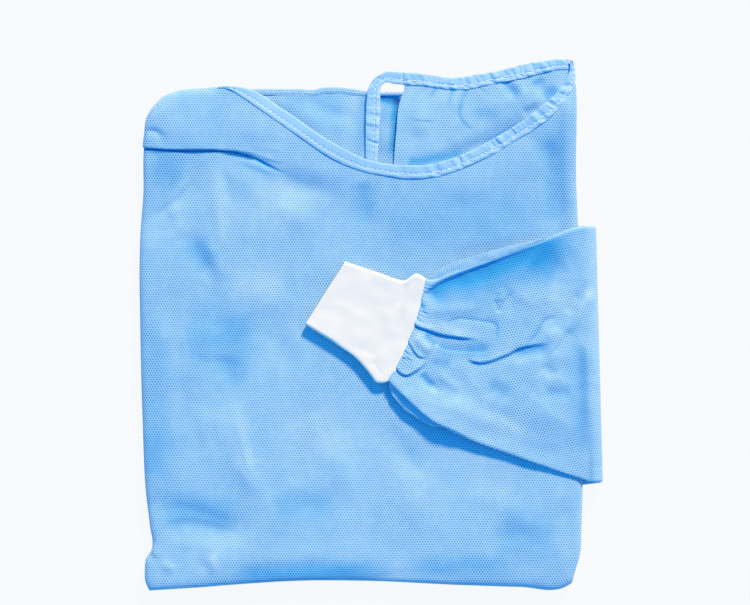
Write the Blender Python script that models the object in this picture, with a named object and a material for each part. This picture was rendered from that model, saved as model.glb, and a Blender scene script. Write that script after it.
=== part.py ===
"""Disposable lab gown, folded flat on a table.

The front panel is uppermost, the neck opening is at the upper right and the right sleeve lies
across the front with its knit cuff. All sizes below are in millimetres, and the meshes are in
metres. +X points to the sleeve's fold, +Y to the neck and +Z up from the table.
"""
import bpy
import numpy as np

METRE = 0.001

# Driving sizes of the cloth
CLOTH = 1.0
KNIT = 1.2

# Heights of the folded pack
BODY_HEIGHT = 17.0
NECK_RISE = 2.2
HEAD_DROOP = 4.5
DROOP_START = 44.0
DROOP_LENGTH = 52.0
HIDDEN_DROP = 3.8

# Levels of the neck pieces below the outer face of the front panel
RIGHT_BACK_DROP = 2.7
LEFT_BACK_DROP = 5.3
NECK_RECESS = 5.6

# Sleeve and cuff
SLEEVE_THICKNESS = 5.6
CUFF_THICKNESS = 5.0
EDGE_ROUND = 3.2
SLEEVE_REST = 1.0
SLEEVE_LIFT = 2.2
BACK_SLEEVE_THICKNESS = 5.0
GATHERS = 9
GATHER_HEIGHT = 0.75
GATHER_REACH = 20.0
SEAM_BOW = 4.5

# Front panel, outline of the folded gown: x, y
LEFT_EDGE = (
    (-193.5, -232.0), (-197.0, -224.0), (-197.5, -214.0), (-196.5, -204.0), (-192.0, -197.0),
    (-193.5, -172.5), (-196.0, -152.0), (-199.5, -82.5), (-201.5, -4.5), (-202.0, 60.0),
    (-201.0, 87.0), (-199.0, 112.0), (-198.8, 154.5), (-197.8, 166.0), (-196.0, 180.0),
    (-191.5, 188.5), (-186.5, 194.5),
)
BOTTOM_EDGE = (
    (-193.5, -232.0), (-146.0, -229.0), (-108.0, -226.0), (-62.5, -223.5), (-9.5, -223.5),
    (82.0, -227.5), (129.0, -229.0), (168.0, -229.5), (175.0, -225.5),
)
RIGHT_EDGE = (
    (175.0, -225.5), (179.0, -211.5), (182.0, -201.0), (183.5, -175.5), (183.5, -65.0),
    (182.0, 22.0), (180.5, 85.5), (179.0, 120.0), (179.0, 189.0), (178.8, 200.0),
    (178.4, 209.5),
)
SHOULDER_TOP = (
    (-186.5, 194.5), (-182.0, 199.0), (-175.0, 202.5), (-166.0, 205.0), (-153.0, 206.5),
    (-140.0, 207.0), (-130.0, 206.6),
)
# Upper edge of the front panel past the neckline, at the right shoulder: x, y
NECK_END = ((178.4, 209.5),)
# Upper outline of the whole gown, where the cloth droops towards the table: x, y
HEAD_LINE = (
    (-200.0, 207.0), (-10.0, 206.0), (20.0, 213.0), (83.0, 216.5), (118.0, 223.0),
    (170.0, 231.0),
)
FRONT_WIDTH = 378.0
FLAT_COLUMNS = 23
EXTRA_COLUMN = 0.955
BODY_ROWS = 15
SHOULDER_ROWS = 3
TOP_EDGE_CLIMB = 0.3

# Tuck across the left shoulder, from the left edge to where it dies out: x, y
TUCK_LINE = (
    (-198.8, 154.5), (-185.5, 153.3), (-166.0, 152.0), (-144.5, 152.3), (-134.0, 152.0),
    (-112.0, 147.5), (-98.5, 143.0), (-73.0, 131.0), (-44.5, 118.0), (-9.5, 106.0),
    (31.5, 101.0), (77.5, 104.0), (129.5, 121.0), (179.0, 146.0),
)
# Where the pleat opens into a step, and where the step dies out, as ranges of x
PLEAT_FADE = (-150.0, -112.0)
STEP_FADE = (-130.0, -72.0)
STEP_SPREAD = 60.0

# Rows of the tuck: distance above the line where it is open, where it is a flat pleat, rise
TUCK_ROWS = (
    (-12.0, -12.0, -0.9),
    (-5.0, -4.0, -1.5),
    (-3.0, 2.6, -1.65),
    (-1.2, 5.2, -0.9),
    (0.2, 3.6, 0.0),
    (1.4, 0.2, 0.1),
    (2.4, -1.2, 0.9),
    (4.0, 1.0, 1.6),
    (12.0, 12.0, 0.9),
)

# Front neckline binding: open edge x, y, then folded edge x, y
FRONT_BINDING = (
    (-124.0, 204.8, -121.0, 207.8), (-114.0, 199.0, -107.0, 205.5),
    (-101.5, 190.5, -94.0, 199.5), (-86.5, 180.0, -79.5, 189.5),
    (-71.5, 169.5, -64.5, 179.5), (-56.5, 159.0, -50.0, 169.0),
    (-42.0, 149.0, -36.5, 160.0), (-26.5, 140.5, -21.5, 152.0),
    (-6.5, 133.0, -3.0, 143.5), (8.5, 130.0, 10.5, 140.5), (32.0, 127.0, 32.0, 138.5),
    (56.5, 128.5, 54.0, 140.0), (71.0, 132.5, 67.0, 143.5), (92.5, 141.5, 86.5, 151.0),
    (109.0, 149.5, 102.5, 159.5), (127.5, 161.0, 120.0, 170.0),
    (141.5, 169.5, 133.5, 178.5), (152.0, 177.0, 144.0, 187.0),
    (162.0, 186.5, 153.5, 194.5), (170.0, 196.0, 161.0, 201.0),
    (174.6, 204.0, 166.0, 208.0),
)
# Its last, narrow stretch, which turns up beside the end of the right back binding
NECK_CORNER = (
    (177.4, 211.5, 169.8, 214.0), (177.6, 219.0, 172.5, 220.3), (177.0, 225.5, 173.1, 225.5),
    (176.2, 229.4, 172.7, 230.3),
)
# Section of a binding round a panel's edge: share of its width, distance added, level above
# the panel's face
BINDING_SECTION = (
    (1.0, 0.0, -0.5), (1.0, -0.5, 0.8), (1.0, -1.6, 1.5), (0.5, 0.0, 1.5), (0.34, 0.0, 1.5),
    (0.27, 0.0, 1.9), (0.08, 0.0, 1.9), (0.0, 0.0, 1.3), (0.0, 0.0, 0.55), (1.0, -1.9, 0.55),
    (1.0, -1.9, -1.5), (0.0, 0.0, -1.5), (0.0, 0.0, -2.4), (1.0, -1.6, -2.4),
    (1.0, -0.5, -1.8),
)
EDGE_IN_BINDING = 4.2
# Right back binding: open edge x, y, then folded edge x, y
RIGHT_BACK_BINDING = (
    (28.5, 209.0, 28.5, 220.0), (42.5, 208.5, 42.5, 219.0), (55.0, 206.5, 55.0, 217.0),
    (69.0, 205.0, 70.5, 215.5), (83.0, 205.0, 83.0, 216.5), (99.0, 208.0, 97.0, 218.8),
    (112.5, 211.0, 110.0, 221.3), (132.0, 214.5, 129.0, 225.8),
    (151.0, 219.5, 149.0, 229.8), (161.5, 221.7, 160.5, 231.4),
    (172.1, 223.0, 172.0, 231.4),
)
# Left back binding, a narrow rolled hem: open edge x, y, then folded edge x, y
LEFT_BACK_BINDING = (
    (-108.5, 200.6, -109.5, 205.4), (-98.0, 200.3, -98.5, 205.6), (-62.0, 200.0, -62.0, 205.5),
    (-51.5, 199.5, -51.5, 205.0), (-40.0, 201.5, -40.0, 207.0),
    (-27.0, 201.5, -27.0, 207.0), (-14.0, 200.0, -14.0, 205.5),
    (-3.5, 198.0, -3.5, 203.7), (8.0, 197.0, 8.0, 203.0), (24.0, 197.0, 24.0, 203.0),
)
# Neck tie, the free end of the right back binding: outer edge x, y, inner edge x, y, drop
NECK_TIE = (
    (28.0, 220.0, 28.0, 209.0, 3.2), (19.0, 220.5, 19.5, 210.0, 3.2),
    (10.5, 219.5, 12.5, 211.0, 3.0), (2.5, 214.5, 9.4, 209.0, 2.6),
    (-2.5, 206.5, 8.2, 205.0, 2.2), (-3.8, 197.5, 8.0, 198.5, 2.2),
    (-4.5, 186.0, 8.0, 186.0, 3.2), (-5.0, 165.0, 7.0, 165.0, 4.1),
    (-5.0, 150.0, 6.0, 150.0, 4.1), (-5.0, 134.0, 5.5, 134.0, 4.1),
)
TIE_THICKNESS = 1.6
# Section of the tie: share of its width from the inner edge, share of its thickness
TIE_SECTION = ((0.0, 0.0), (0.08, 0.5), (0.5, 0.5), (0.92, 0.5), (1.0, 0.0), (0.92, -0.5),
               (0.5, -0.5), (0.08, -0.5))

# Left back panel, hidden margins included: x, lower y, upper y
LEFT_BACK = (
    (-112.0, 190.0, 203.5), (-98.0, 180.0, 203.2), (-80.0, 167.0, 203.0),
    (-62.0, 155.0, 202.8), (-45.0, 143.5, 203.0), (-27.0, 132.5, 204.0),
    (-10.0, 125.5, 202.3), (8.0, 121.5, 200.3), (25.0, 119.5, 200.2), (44.0, 119.5, 199.8),
)
# Right back panel: its free left edge, its hidden lower edge and its upper edge, x, y
RIGHT_BACK_LEFT = (
    (17.0, 119.0), (19.5, 140.5), (22.0, 169.5), (24.5, 192.5), (28.6, 205.0), (28.8, 216.5),
)
RIGHT_BACK_LOWER = (
    (17.0, 119.0), (32.0, 118.5), (57.0, 120.0), (74.0, 124.5), (97.0, 134.0),
    (114.0, 142.5), (133.0, 154.0), (147.0, 163.0), (158.0, 172.0), (166.0, 181.0),
)
RIGHT_BACK_UPPER = (
    (28.8, 216.5), (42.5, 215.5), (55.0, 213.5), (70.0, 212.0), (83.0, 213.0), (97.5, 215.5),
    (110.7, 218.2), (129.7, 222.0), (149.5, 226.5), (160.3, 228.2), (175.0, 227.6),
)
RIGHT_BACK_RIGHT = ((166.0, 181.0), (171.0, 200.0), (174.5, 212.0), (175.0, 227.6))

# Head of the hidden pack, kept clear of the gap between the tie and the backs: x, y
HEAD_EDGE = (
    (-186.5, 194.5), (-181.0, 197.5), (-166.0, 200.5), (-140.0, 201.5), (-100.0, 200.5),
    (-40.0, 199.0), (8.0, 197.5), (24.0, 197.5), (42.0, 200.0), (83.0, 204.0),
    (118.0, 209.5), (150.0, 214.5), (177.5, 216.0),
)
# Rings of the hidden pack: share of its height, inset at its sides, inset at its head
PACK_RINGS = (
    (0.00, 4.4, 4.4), (0.035, 2.8, 2.8), (0.10, 1.8, 1.6), (0.17, 2.6, 2.4),
    (0.205, 3.8, 3.8), (0.24, 2.6, 2.8), (0.31, 1.6, 1.8), (0.38, 2.6, 2.6),
    (0.415, 4.6, 4.0), (0.46, 6.0, 2.6), (0.60, 6.4, 1.8), (0.72, 6.6, 3.6),
    (0.80, 6.8, 2.8), (0.92, 7.4, 2.8),
)
PACK_TOP_INSET = 9.0
PACK_RIGHT_TOP = (177.5, 216.0)
LAYER_WANDER = 0.5
CORNER_MITRE = 1.5
TUCKED_RINGS = 9
TUCKED_INSET = 19.0
TUCKED_FROM_Y = -155.0
TUCKED_TO_Y = 97.0

# Side roll of the front panel, from the flat to its turned-under edge: inset, drop
EDGE_ROLL = ((6.0, 0.3), (2.4, 1.5), (0.6, 3.8), (0.4, 6.8), (0.8, 10.0))
EDGE_ROLL_FROM = 10.0
# Width of the side roll, narrower and shallower towards the neck: y, width
NARROWER_ROLL = ((140.0, 10.0), (185.0, 7.5), (208.0, 3.2))
# Upper edge of the front panel, from the flat: inset and drop at the rolled shoulder, inset at
# the cut neckline
HEAD_ROLL = (
    (7.0, 0.2, 9.6), (3.0, 1.1, 7.2), (0.9, 3.2, 4.8), (0.5, 5.6, 2.4), (0.9, 8.0, 0.0),
)
HEAD_ROLL_FROM = 12.0
SHOULDER_FADE = (-165.0, -130.0)

# Largest folds of the front panel: start x, y, end x, y, half width, height (minus: trough)
BODY_FOLDS = (
    (-151.0, 128.0, -196.0, 92.0, 17.0, -2.2),
    (-157.5, 69.5, -144.5, 48.0, 10.0, -1.2),
    (-144.5, 48.0, -136.0, 16.0, 10.0, -1.2),
    (-137.5, -82.5, -109.5, -126.0, 11.0, 1.4),
    (-109.5, -126.0, -92.0, -156.5, 11.0, 1.2),
    (-186.0, -156.5, -115.5, -178.5, 10.0, -1.5),
    (-70.0, 122.0, -18.0, 100.0, 15.0, -1.2),
    (155.0, 150.0, 165.0, 80.0, 9.0, -1.6),
    (-137.5, -204.5, -125.0, -206.0, 14.0, 1.0),
)

# Sleeve's upper edge, tube only, and lower edge of its top layer, cuff to fold: x, y
SLEEVE_UPPER = (
    (45.0, 41.0), (53.0, 39.5), (68.5, 45.0), (86.0, 51.0), (112.0, 59.5), (129.5, 65.5),
    (151.5, 74.5), (164.5, 80.5), (176.0, 84.5), (184.2, 85.8),
)
SLEEVE_LOWER = (
    (14.0, -48.0), (21.5, -55.5), (29.5, -63.5), (42.5, -75.5), (55.5, -85.5), (68.5, -92.0),
    (86.0, -100.0), (121.0, -113.0), (164.5, -128.0), (190.2, -136.5),
)
SLEEVE_STATIONS = (
    0.0, 0.018, 0.04, 0.065, 0.095, 0.13, 0.175, 0.23, 0.295, 0.37, 0.46, 0.56, 0.67, 0.78,
    0.89, 1.0,
)
# How far the under layer shows past the top layer's lower edge: share of the sleeve, reach
UNDER_LAYER = ((0.0, 1.0), (0.05, 8.0), (0.13, 9.0), (0.22, 6.0), (0.36, 0.0), (1.0, 0.0))
SLEEVE_POINTS = (22, 10)
FOLD_TURNS = 6
BACK_SLEEVE_STEPS = (7.0, 15.0)
BACK_SLEEVE_SPREAD = 4.5

# Largest folds of the sleeve's top layer: start x, y, end x, y, half width, height
SLEEVE_FOLDS = (
    (44.0, 29.0, 77.5, 43.0, 5.0, -1.6),
    (77.5, 43.0, 120.0, 57.0, 5.5, -1.5),
    (120.0, 57.0, 147.0, 68.0, 6.0, -0.8),
    (37.0, 1.0, 51.5, -6.0, 4.0, -1.3),
    (51.5, -6.0, 92.0, -11.5, 4.5, -1.5),
    (82.0, -28.0, 98.0, -33.5, 6.0, -1.3),
    (98.0, -33.5, 134.0, -19.0, 6.0, -1.5),
    (134.0, -19.0, 156.0, -12.0, 6.0, -1.0),
    (75.0, 12.0, 95.0, 16.0, 12.0, 0.9),
    (148.0, -8.0, 165.0, 12.0, 12.0, 0.8),
    (41.0, -39.0, 62.0, -61.0, 6.0, -0.9),
    (120.0, -45.0, 150.0, -60.0, 18.0, 0.9),
)

# Knit cuff, opening to seam: upper edge x, y, lower edge x, y, bow of the section
CUFF_SECTIONS = (
    (-22.5, 55.0, -57.5, 0.0, 0.0), (-20.5, 54.3, -55.5, -1.3, 0.0),
    (-6.0, 49.3, -40.5, -10.5, 0.3), (11.5, 43.5, -24.5, -21.0, 0.8),
    (21.0, 40.0, -14.0, -28.5, 1.5), (29.5, 38.5, -5.0, -38.5, 2.4),
    (34.5, 42.0, 0.6, -45.7, 3.2), (38.5, 44.4, 4.4, -50.4, 3.8),
    (42.0, 43.8, 8.9, -50.9, 4.2),
)
SEAM_SPACE = 1.0
CUFF_POINTS = (12, 8)

# Welded seam allowance along the sleeve's upper edge: share of the edge, width
FLANGE = ((0.03, 1.5), (0.09, 6.0), (0.2, 8.0), (0.45, 7.0), (0.62, 5.0), (0.76, 1.5))
FLANGE_THICKNESS = 1.6
FLANGE_GAP = 0.6

SMOKE_BLUE = (0.23, 0.52, 0.88, 1.0)
PALE_BLUE = (0.33, 0.62, 0.93, 1.0)
KNIT_WHITE = (0.88, 0.88, 0.89, 1.0)


def clear_scene():
    """Remove every object, so that the script starts from nothing."""
    for item in list(bpy.data.objects):
        bpy.data.objects.remove(item, do_unlink=True)


def cloth_material(name, colour, roughness):
    """Return a plain cloth material of one colour."""
    material = bpy.data.materials.new(name)
    material.use_nodes = True
    shader = material.node_tree.nodes["Principled BSDF"]
    shader.inputs["Base Color"].default_value = colour
    shader.inputs["Roughness"].default_value = roughness
    shader.inputs["Metallic"].default_value = 0.0
    return material


def smoothstep(value):
    """Rise smoothly from 0 to 1 as the value goes from 0 to 1."""
    share = np.clip(value, 0.0, 1.0)
    return share * share * (3.0 - 2.0 * share)


def smooth_curve(points, steps=14):
    """Return a dense smooth curve through rows whose first two columns are x and y."""
    knots = np.array(points, dtype=float)
    chords = np.linalg.norm(np.diff(knots[:, :2], axis=0), axis=1)
    at = np.concatenate(([0.0], np.cumsum(chords)))
    slopes = np.gradient(knots, at, axis=0)
    rows = []
    for i in range(len(knots) - 1):
        length = at[i + 1] - at[i]
        for t in np.arange(steps) / steps:
            start = (1 + 2 * t) * (1 - t) ** 2 * knots[i] + t * (1 - t) ** 2 * length * slopes[i]
            end = t * t * (3 - 2 * t) * knots[i + 1] - t * t * (1 - t) * length * slopes[i + 1]
            rows.append(start + end)
    rows.append(knots[-1])
    return np.array(rows)


def along(points, shares, climb=1.0):
    """Return rows at the given shares of the smooth curve's length, counting y by the climb."""
    dense = smooth_curve(points)
    steps = np.hypot(np.diff(dense[:, 0]), climb * np.diff(dense[:, 1]))
    length = np.concatenate(([0.0], np.cumsum(steps)))
    wanted = np.asarray(shares, dtype=float) * length[-1]
    columns = [np.interp(wanted, length, dense[:, c]) for c in range(dense.shape[1])]
    return np.stack(columns, axis=-1)


def fill_border(low, high, near, far, across, up):
    """Fill a grid of plan points between four border rows that meet at their ends."""
    u = across[None, :, None]
    v = up[:, None, None]
    corners = (1 - u) * (1 - v) * low[0] + u * (1 - v) * low[-1] \
        + (1 - u) * v * high[0] + u * v * high[-1]
    return (1 - v) * low[None] + v * high[None] + (1 - u) * near[:, None] + u * far[:, None] \
        - corners


def fold_relief(x, y, folds):
    """Return soft troughs and ridges, each along its own straight line."""
    lowest = np.zeros(np.shape(x))
    highest = np.zeros(np.shape(x))
    for x0, y0, x1, y1, half_width, height in folds:
        run_x, run_y = x1 - x0, y1 - y0
        share = ((x - x0) * run_x + (y - y0) * run_y) / (run_x ** 2 + run_y ** 2)
        share = np.clip(share, 0.0, 1.0)
        gap2 = (x - x0 - share * run_x) ** 2 + (y - y0 - share * run_y) ** 2
        fold = height * np.exp(-gap2 / half_width ** 2)
        lowest = np.minimum(lowest, fold)
        highest = np.maximum(highest, fold)
    return lowest + highest


NECKLINE = smooth_curve([row[:2] for row in FRONT_BINDING])


TUCK_CURVE = smooth_curve(TUCK_LINE)


def neck_distance(x, y):
    """Return how far a place is above the front neckline, minus below it."""
    return y - np.interp(x, NECKLINE[:, 0], NECKLINE[:, 1])


def base_height(x, y):
    """Return the height of the front panel's outer face without its folds."""
    head_y = np.interp(x, [row[0] for row in HEAD_LINE], [row[1] for row in HEAD_LINE])
    rise = NECK_RISE * smoothstep((neck_distance(x, y) + 60.0) / 50.0)
    droop = HEAD_DROOP * smoothstep((y - head_y + DROOP_START) / DROOP_LENGTH)
    return BODY_HEIGHT + rise - droop


def front_height(x, y):
    """Return the height of the front panel's outer face."""
    return base_height(x, y) + fold_relief(x, y, BODY_FOLDS)


def hidden_height(x, y):
    """Return the height of the hidden layers, lower where the back panels lie on them."""
    recess = NECK_RECESS * smoothstep((neck_distance(x, y) + 42.0) / 24.0)
    recess = recess * smoothstep((x + 150.0) / 25.0)
    troughs = np.minimum(fold_relief(x, y, BODY_FOLDS), 0.0)
    return base_height(x, y) + troughs - HIDDEN_DROP - recess


def grid_normals(grid):
    """Return the unit normals of a grid of points, each the mean of the patches round it."""
    rising = grid[1:, 1:] - grid[:-1, :-1]
    falling = grid[1:, :-1] - grid[:-1, 1:]
    patches = np.cross(rising, falling)
    patches = patches / np.linalg.norm(patches, axis=2, keepdims=True)
    normals = np.zeros(grid.shape)
    normals[:-1, :-1] += patches
    normals[:-1, 1:] += patches
    normals[1:, :-1] += patches
    normals[1:, 1:] += patches
    return normals / np.linalg.norm(normals, axis=2, keepdims=True)


def on_layer(plan, drop, thickness=CLOTH):
    """Lift plan points to the middle of a cloth layer, a drop below the front panel's face."""
    height = base_height(plan[..., 0], plan[..., 1]) - drop - thickness / 2
    return np.concatenate((plan, height[..., None]), axis=-1)


def make_object(name, points, faces, material):
    """Make one named mesh object from points in millimetres."""
    mesh = bpy.data.meshes.new(name)
    mesh.from_pydata([tuple(point) for point in points * METRE], [], faces)
    mesh.materials.append(material)
    mesh.shade_smooth()
    mesh.set_sharp_from_angle(angle=np.radians(50.0))
    item = bpy.data.objects.new(name, mesh)
    bpy.context.scene.collection.objects.link(item)
    return item


def border_of(index):
    """Return the border of a grid of point numbers as one loop, counter-clockwise."""
    return list(index[0]) + list(index[1:, -1]) + list(index[-1, -2::-1]) \
        + list(index[-2:0:-1, 0])


def halves(a, b, c, d):
    """Return the two triangles of a four-cornered patch."""
    return [(a, b, c), (a, c, d)]


def grid_faces(index):
    """Return the upward faces of a grid of point numbers, split towards its four corners."""
    rows, columns = index.shape
    faces = []
    for i in range(rows - 1):
        for j in range(columns - 1):
            patch = [index[i, j], index[i, j + 1], index[i + 1, j + 1], index[i + 1, j]]
            if (2 * i < rows - 1) != (2 * j < columns - 1):
                patch = patch[1:] + patch[:1]
            faces += halves(*patch)
    return faces


def grid_wall(name, middle, thickness, material):
    """Make a wall of even thickness about a grid of points, closed at its four edges."""
    offset = grid_normals(middle) * thickness / 2
    points = np.concatenate(((middle + offset).reshape(-1, 3), (middle - offset).reshape(-1, 3)))
    index = np.arange(middle.shape[0] * middle.shape[1]).reshape(middle.shape[:2])
    count = index.size
    faces = grid_faces(index)
    faces += [tuple(corner + count for corner in face[::-1]) for face in faces]
    rim = border_of(index)
    faces += [(b, a, a + count, b + count) for a, b in zip(rim, rim[1:] + rim[:1])]
    return make_object(name, points, faces, material)


def ring_faces(index):
    """Return the faces that join closed rings of point numbers, one ring a row."""
    following = np.roll(index, -1, axis=1)
    faces = []
    for i in range(index.shape[0] - 1):
        for j in range(index.shape[1]):
            faces += halves(index[i, j], following[i, j], following[i + 1, j], index[i + 1, j])
    return faces


def swept_bar(name, rings, material):
    """Join closed rings of points into one bar with flat ends."""
    index = np.arange(rings.shape[0] * rings.shape[1]).reshape(rings.shape[:2])
    faces = [tuple(index[0, ::-1]), tuple(index[-1])] + ring_faces(index)
    return make_object(name, rings.reshape(-1, 3), faces, material)


def tube_wall(name, outer, thickness, material):
    """Make an open tube from rings of outer points, with a wall of even thickness."""
    around = np.roll(outer, -1, axis=1) - np.roll(outer, 1, axis=1)
    axis = np.gradient(outer, axis=0).mean(axis=1, keepdims=True)
    normals = np.cross(around, np.broadcast_to(axis, around.shape))
    normals = normals / np.linalg.norm(normals, axis=2, keepdims=True)
    points = np.concatenate((outer.reshape(-1, 3), (outer - normals * thickness).reshape(-1, 3)))
    index = np.arange(outer.shape[0] * outer.shape[1]).reshape(outer.shape[:2])
    count = index.size
    faces = ring_faces(index)
    faces += [tuple(corner + count for corner in face[::-1]) for face in faces]
    following = np.roll(index, -1, axis=1)
    for first, second in ((following[0], index[0]), (index[-1], following[-1])):
        faces += [(a, b, b + count, a + count) for a, b in zip(first, second)]
    return make_object(name, points, faces, material)


def neckline_edge():
    """Return the cut edge of the front panel, which lies inside its binding."""
    rows = []
    for open_x, open_y, fold_x, fold_y in FRONT_BINDING:
        run = np.array((fold_x - open_x, fold_y - open_y))
        width = np.linalg.norm(run)
        rows.append(tuple(np.array((open_x, open_y)) + run / width * max(width - EDGE_IN_BINDING, 0.1)))
    return rows


def front_columns(across):
    """Return a dense plan curve of the front panel for each share of its width."""
    up = np.linspace(0.0, 1.0, 240)
    top_edge = list(SHOULDER_TOP) + neckline_edge() + list(NECK_END)
    return fill_border(along(BOTTOM_EDGE, across), along(top_edge, across, TOP_EDGE_CLIMB),
                       along(LEFT_EDGE, up), along(RIGHT_EDGE, up), across, up)


def front_rows(column):
    """Return the flat rows of one column of the front panel.

    They are plan points with the tuck laid open, plan points with it folded, and rises.
    """
    steps = np.linalg.norm(np.diff(column, axis=0), axis=1)
    length = np.concatenate(([0.0], np.cumsum(steps)))
    over_tuck = column[:, 1] - np.interp(column[:, 0], TUCK_CURVE[:, 0], TUCK_CURVE[:, 1])
    tuck_at = np.interp(0.0, over_tuck, length)
    tuck_x = np.interp(tuck_at, length, column[:, 0])
    pleat = 1.0 - smoothstep((tuck_x - PLEAT_FADE[0]) / (PLEAT_FADE[1] - PLEAT_FADE[0]))
    rise = 1.0 - smoothstep((tuck_x - STEP_FADE[0]) / (STEP_FADE[1] - STEP_FADE[0]))
    tuck_reach = TUCK_ROWS[-1][0]
    last = length[-1] - HEAD_ROLL_FROM

    places, shifts, rises = [], [], []
    for place in np.linspace(EDGE_ROLL_FROM, tuck_at - tuck_reach, BODY_ROWS, endpoint=False):
        places.append(place)
        shifts.append(0.0)
        rises.append(TUCK_ROWS[0][2] * smoothstep(1.0 - (tuck_at - place) / STEP_SPREAD))
    for laid_open, folded, height in TUCK_ROWS:
        places.append(tuck_at + laid_open)
        shifts.append((folded - laid_open) * pleat)
        rises.append(height)
    for place in np.linspace(tuck_at + tuck_reach, last, SHOULDER_ROWS + 2)[1:]:
        places.append(place)
        shifts.append(0.0)
        rises.append(TUCK_ROWS[-1][2] * (last - place) / (last - tuck_at - tuck_reach))
    plans = [np.stack([np.interp(wanted, length, column[:, c]) for c in range(2)], axis=-1)
             for wanted in (np.array(places), np.array(places) + np.array(shifts))]
    return plans[0], plans[1], np.array(rises) * rise


def side_snapped(plan):
    """Move the end columns of a plan grid to just inside the gown's side edges."""
    left, right = smooth_curve(LEFT_EDGE), smooth_curve(RIGHT_EDGE)
    start = np.interp(plan[:, 0, 1], left[:, 1], left[:, 0]) + EDGE_ROLL_FROM
    end = np.interp(plan[:, -1, 1], right[:, 1], right[:, 0]) \
        - np.interp(plan[:, -1, 1], *zip(*NARROWER_ROLL))
    share = (plan[..., 0] - plan[:, :1, 0]) / (plan[:, -1:, 0] - plan[:, :1, 0])
    snapped = plan.copy()
    snapped[..., 0] = start[:, None] + share * (end - start)[:, None]
    return snapped


def front_outline():
    """Return the whole outline of the front panel as one dense loop."""
    top_edge = list(SHOULDER_TOP) + neckline_edge() + list(NECK_END)
    return np.concatenate((smooth_curve(BOTTOM_EDGE), smooth_curve(RIGHT_EDGE)[1:],
                           smooth_curve(top_edge)[::-1], smooth_curve(LEFT_EDGE)[-2:0:-1]))


def distance_to(outline, start, direction):
    """Return how far a loop of plan points is from a place, the given way."""
    edge = np.roll(outline, -1, axis=0) - outline
    away = outline - start
    lean = direction[0] * edge[:, 1] - direction[1] * edge[:, 0]
    lean = np.where(np.abs(lean) < 1e-9, 1e-9, lean)
    far = (away[:, 0] * edge[:, 1] - away[:, 1] * edge[:, 0]) / lean
    share = (away[:, 0] * direction[1] - away[:, 1] * direction[0]) / lean
    return far[(share >= 0.0) & (share <= 1.0) & (far > 0.0)].min()


def with_rolled_edges(flat, rises):
    """Add the rolled edges round the flat part: returns the grid, and its rises.

    A corner turns both ways at once, so its points fan out from the corner of the flat part.
    """
    turns = len(EDGE_ROLL)
    rows, columns = flat.shape[0] + 2 * turns, flat.shape[1] + 2 * turns
    row_at = np.clip(np.arange(rows) - turns, 0, flat.shape[0] - 1)
    column_at = np.clip(np.arange(columns) - turns, 0, flat.shape[1] - 1)
    grid = flat[row_at][:, column_at]
    across = np.gradient(flat, axis=1)[row_at][:, column_at]
    along_up = np.gradient(flat, axis=0)[row_at][:, column_at]
    across = across / np.linalg.norm(across, axis=2, keepdims=True)
    along_up = along_up / np.linalg.norm(along_up, axis=2, keepdims=True)
    out_x = np.arange(columns) - turns - column_at
    out_y = np.arange(rows) - turns - row_at

    end_x = flat[-1, column_at, 0]
    shoulder = 1.0 - smoothstep((end_x - SHOULDER_FADE[0]) / (SHOULDER_FADE[1] - SHOULDER_FADE[0]))
    side_reach = np.array([0.0] + [1.0 - inset / EDGE_ROLL_FROM for inset, drop in EDGE_ROLL])
    side_drop = np.array([0.0] + [drop for inset, drop in EDGE_ROLL])
    rolled_reach = np.array([0.0] + [1.0 - row[0] / HEAD_ROLL_FROM for row in HEAD_ROLL])
    cut_reach = np.array([0.0] + [1.0 - row[2] / HEAD_ROLL_FROM for row in HEAD_ROLL])
    rolled_drop = np.array([0.0] + [row[1] for row in HEAD_ROLL])

    outline = front_outline()
    drops = np.zeros((rows, columns))
    for i in range(rows):
        depth = np.interp(flat[row_at[i], 0, 1], *zip(*NARROWER_ROLL)) / EDGE_ROLL_FROM
        for j in range(columns):
            turn = max(abs(out_x[j]), abs(out_y[i]))
            if turn == 0:
                continue
            slant = np.hypot(out_x[j], out_y[i])
            share_x, share_y = out_x[j] / slant, out_y[i] / slant
            reach_y, drop_y = side_reach[turn], side_drop[turn]
            if out_y[i] > 0:
                reach_y = rolled_reach[turn] * shoulder[j] + cut_reach[turn] * (1 - shoulder[j])
                drop_y = rolled_drop[turn] * shoulder[j]
            reach = share_x ** 2 * side_reach[turn] + share_y ** 2 * reach_y
            way = across[i, j] * share_x + along_up[i, j] * share_y
            way = way / np.linalg.norm(way)
            grid[i, j] = grid[i, j] + way * reach * distance_to(outline, grid[i, j], way)
            drops[i, j] = share_x ** 2 * side_drop[turn] * depth + share_y ** 2 * drop_y
    height = front_height(grid[..., 0], grid[..., 1]) - drops - CLOTH / 2
    return np.concatenate((grid, height[..., None]), axis=2), rises[row_at][:, column_at]


def front_panel(material):
    """Make the front panel, rolled over at its folded edges, with the tuck at the shoulder."""
    first = EDGE_ROLL_FROM / FRONT_WIDTH
    across = np.append(np.linspace(first, 1.0 - first, FLAT_COLUMNS - 1), EXTRA_COLUMN)
    columns = front_columns(np.sort(across))
    rows = [front_rows(columns[:, j]) for j in range(FLAT_COLUMNS)]
    laid_open, folded, rises = [np.stack(part, axis=1) for part in zip(*rows)]
    flat_grid, all_rises = with_rolled_edges(side_snapped(laid_open), rises)
    shift = np.pad(folded - laid_open, ((len(EDGE_ROLL),) * 2, (len(EDGE_ROLL),) * 2, (0, 0)),
                   mode="edge")
    shift[:len(EDGE_ROLL)] = 0.0
    shift[-len(EDGE_ROLL):] = 0.0
    grid = flat_grid + grid_normals(flat_grid) * all_rises[..., None]
    grid[..., :2] += shift
    return grid_wall("front_panel", grid, CLOTH, material)


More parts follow.
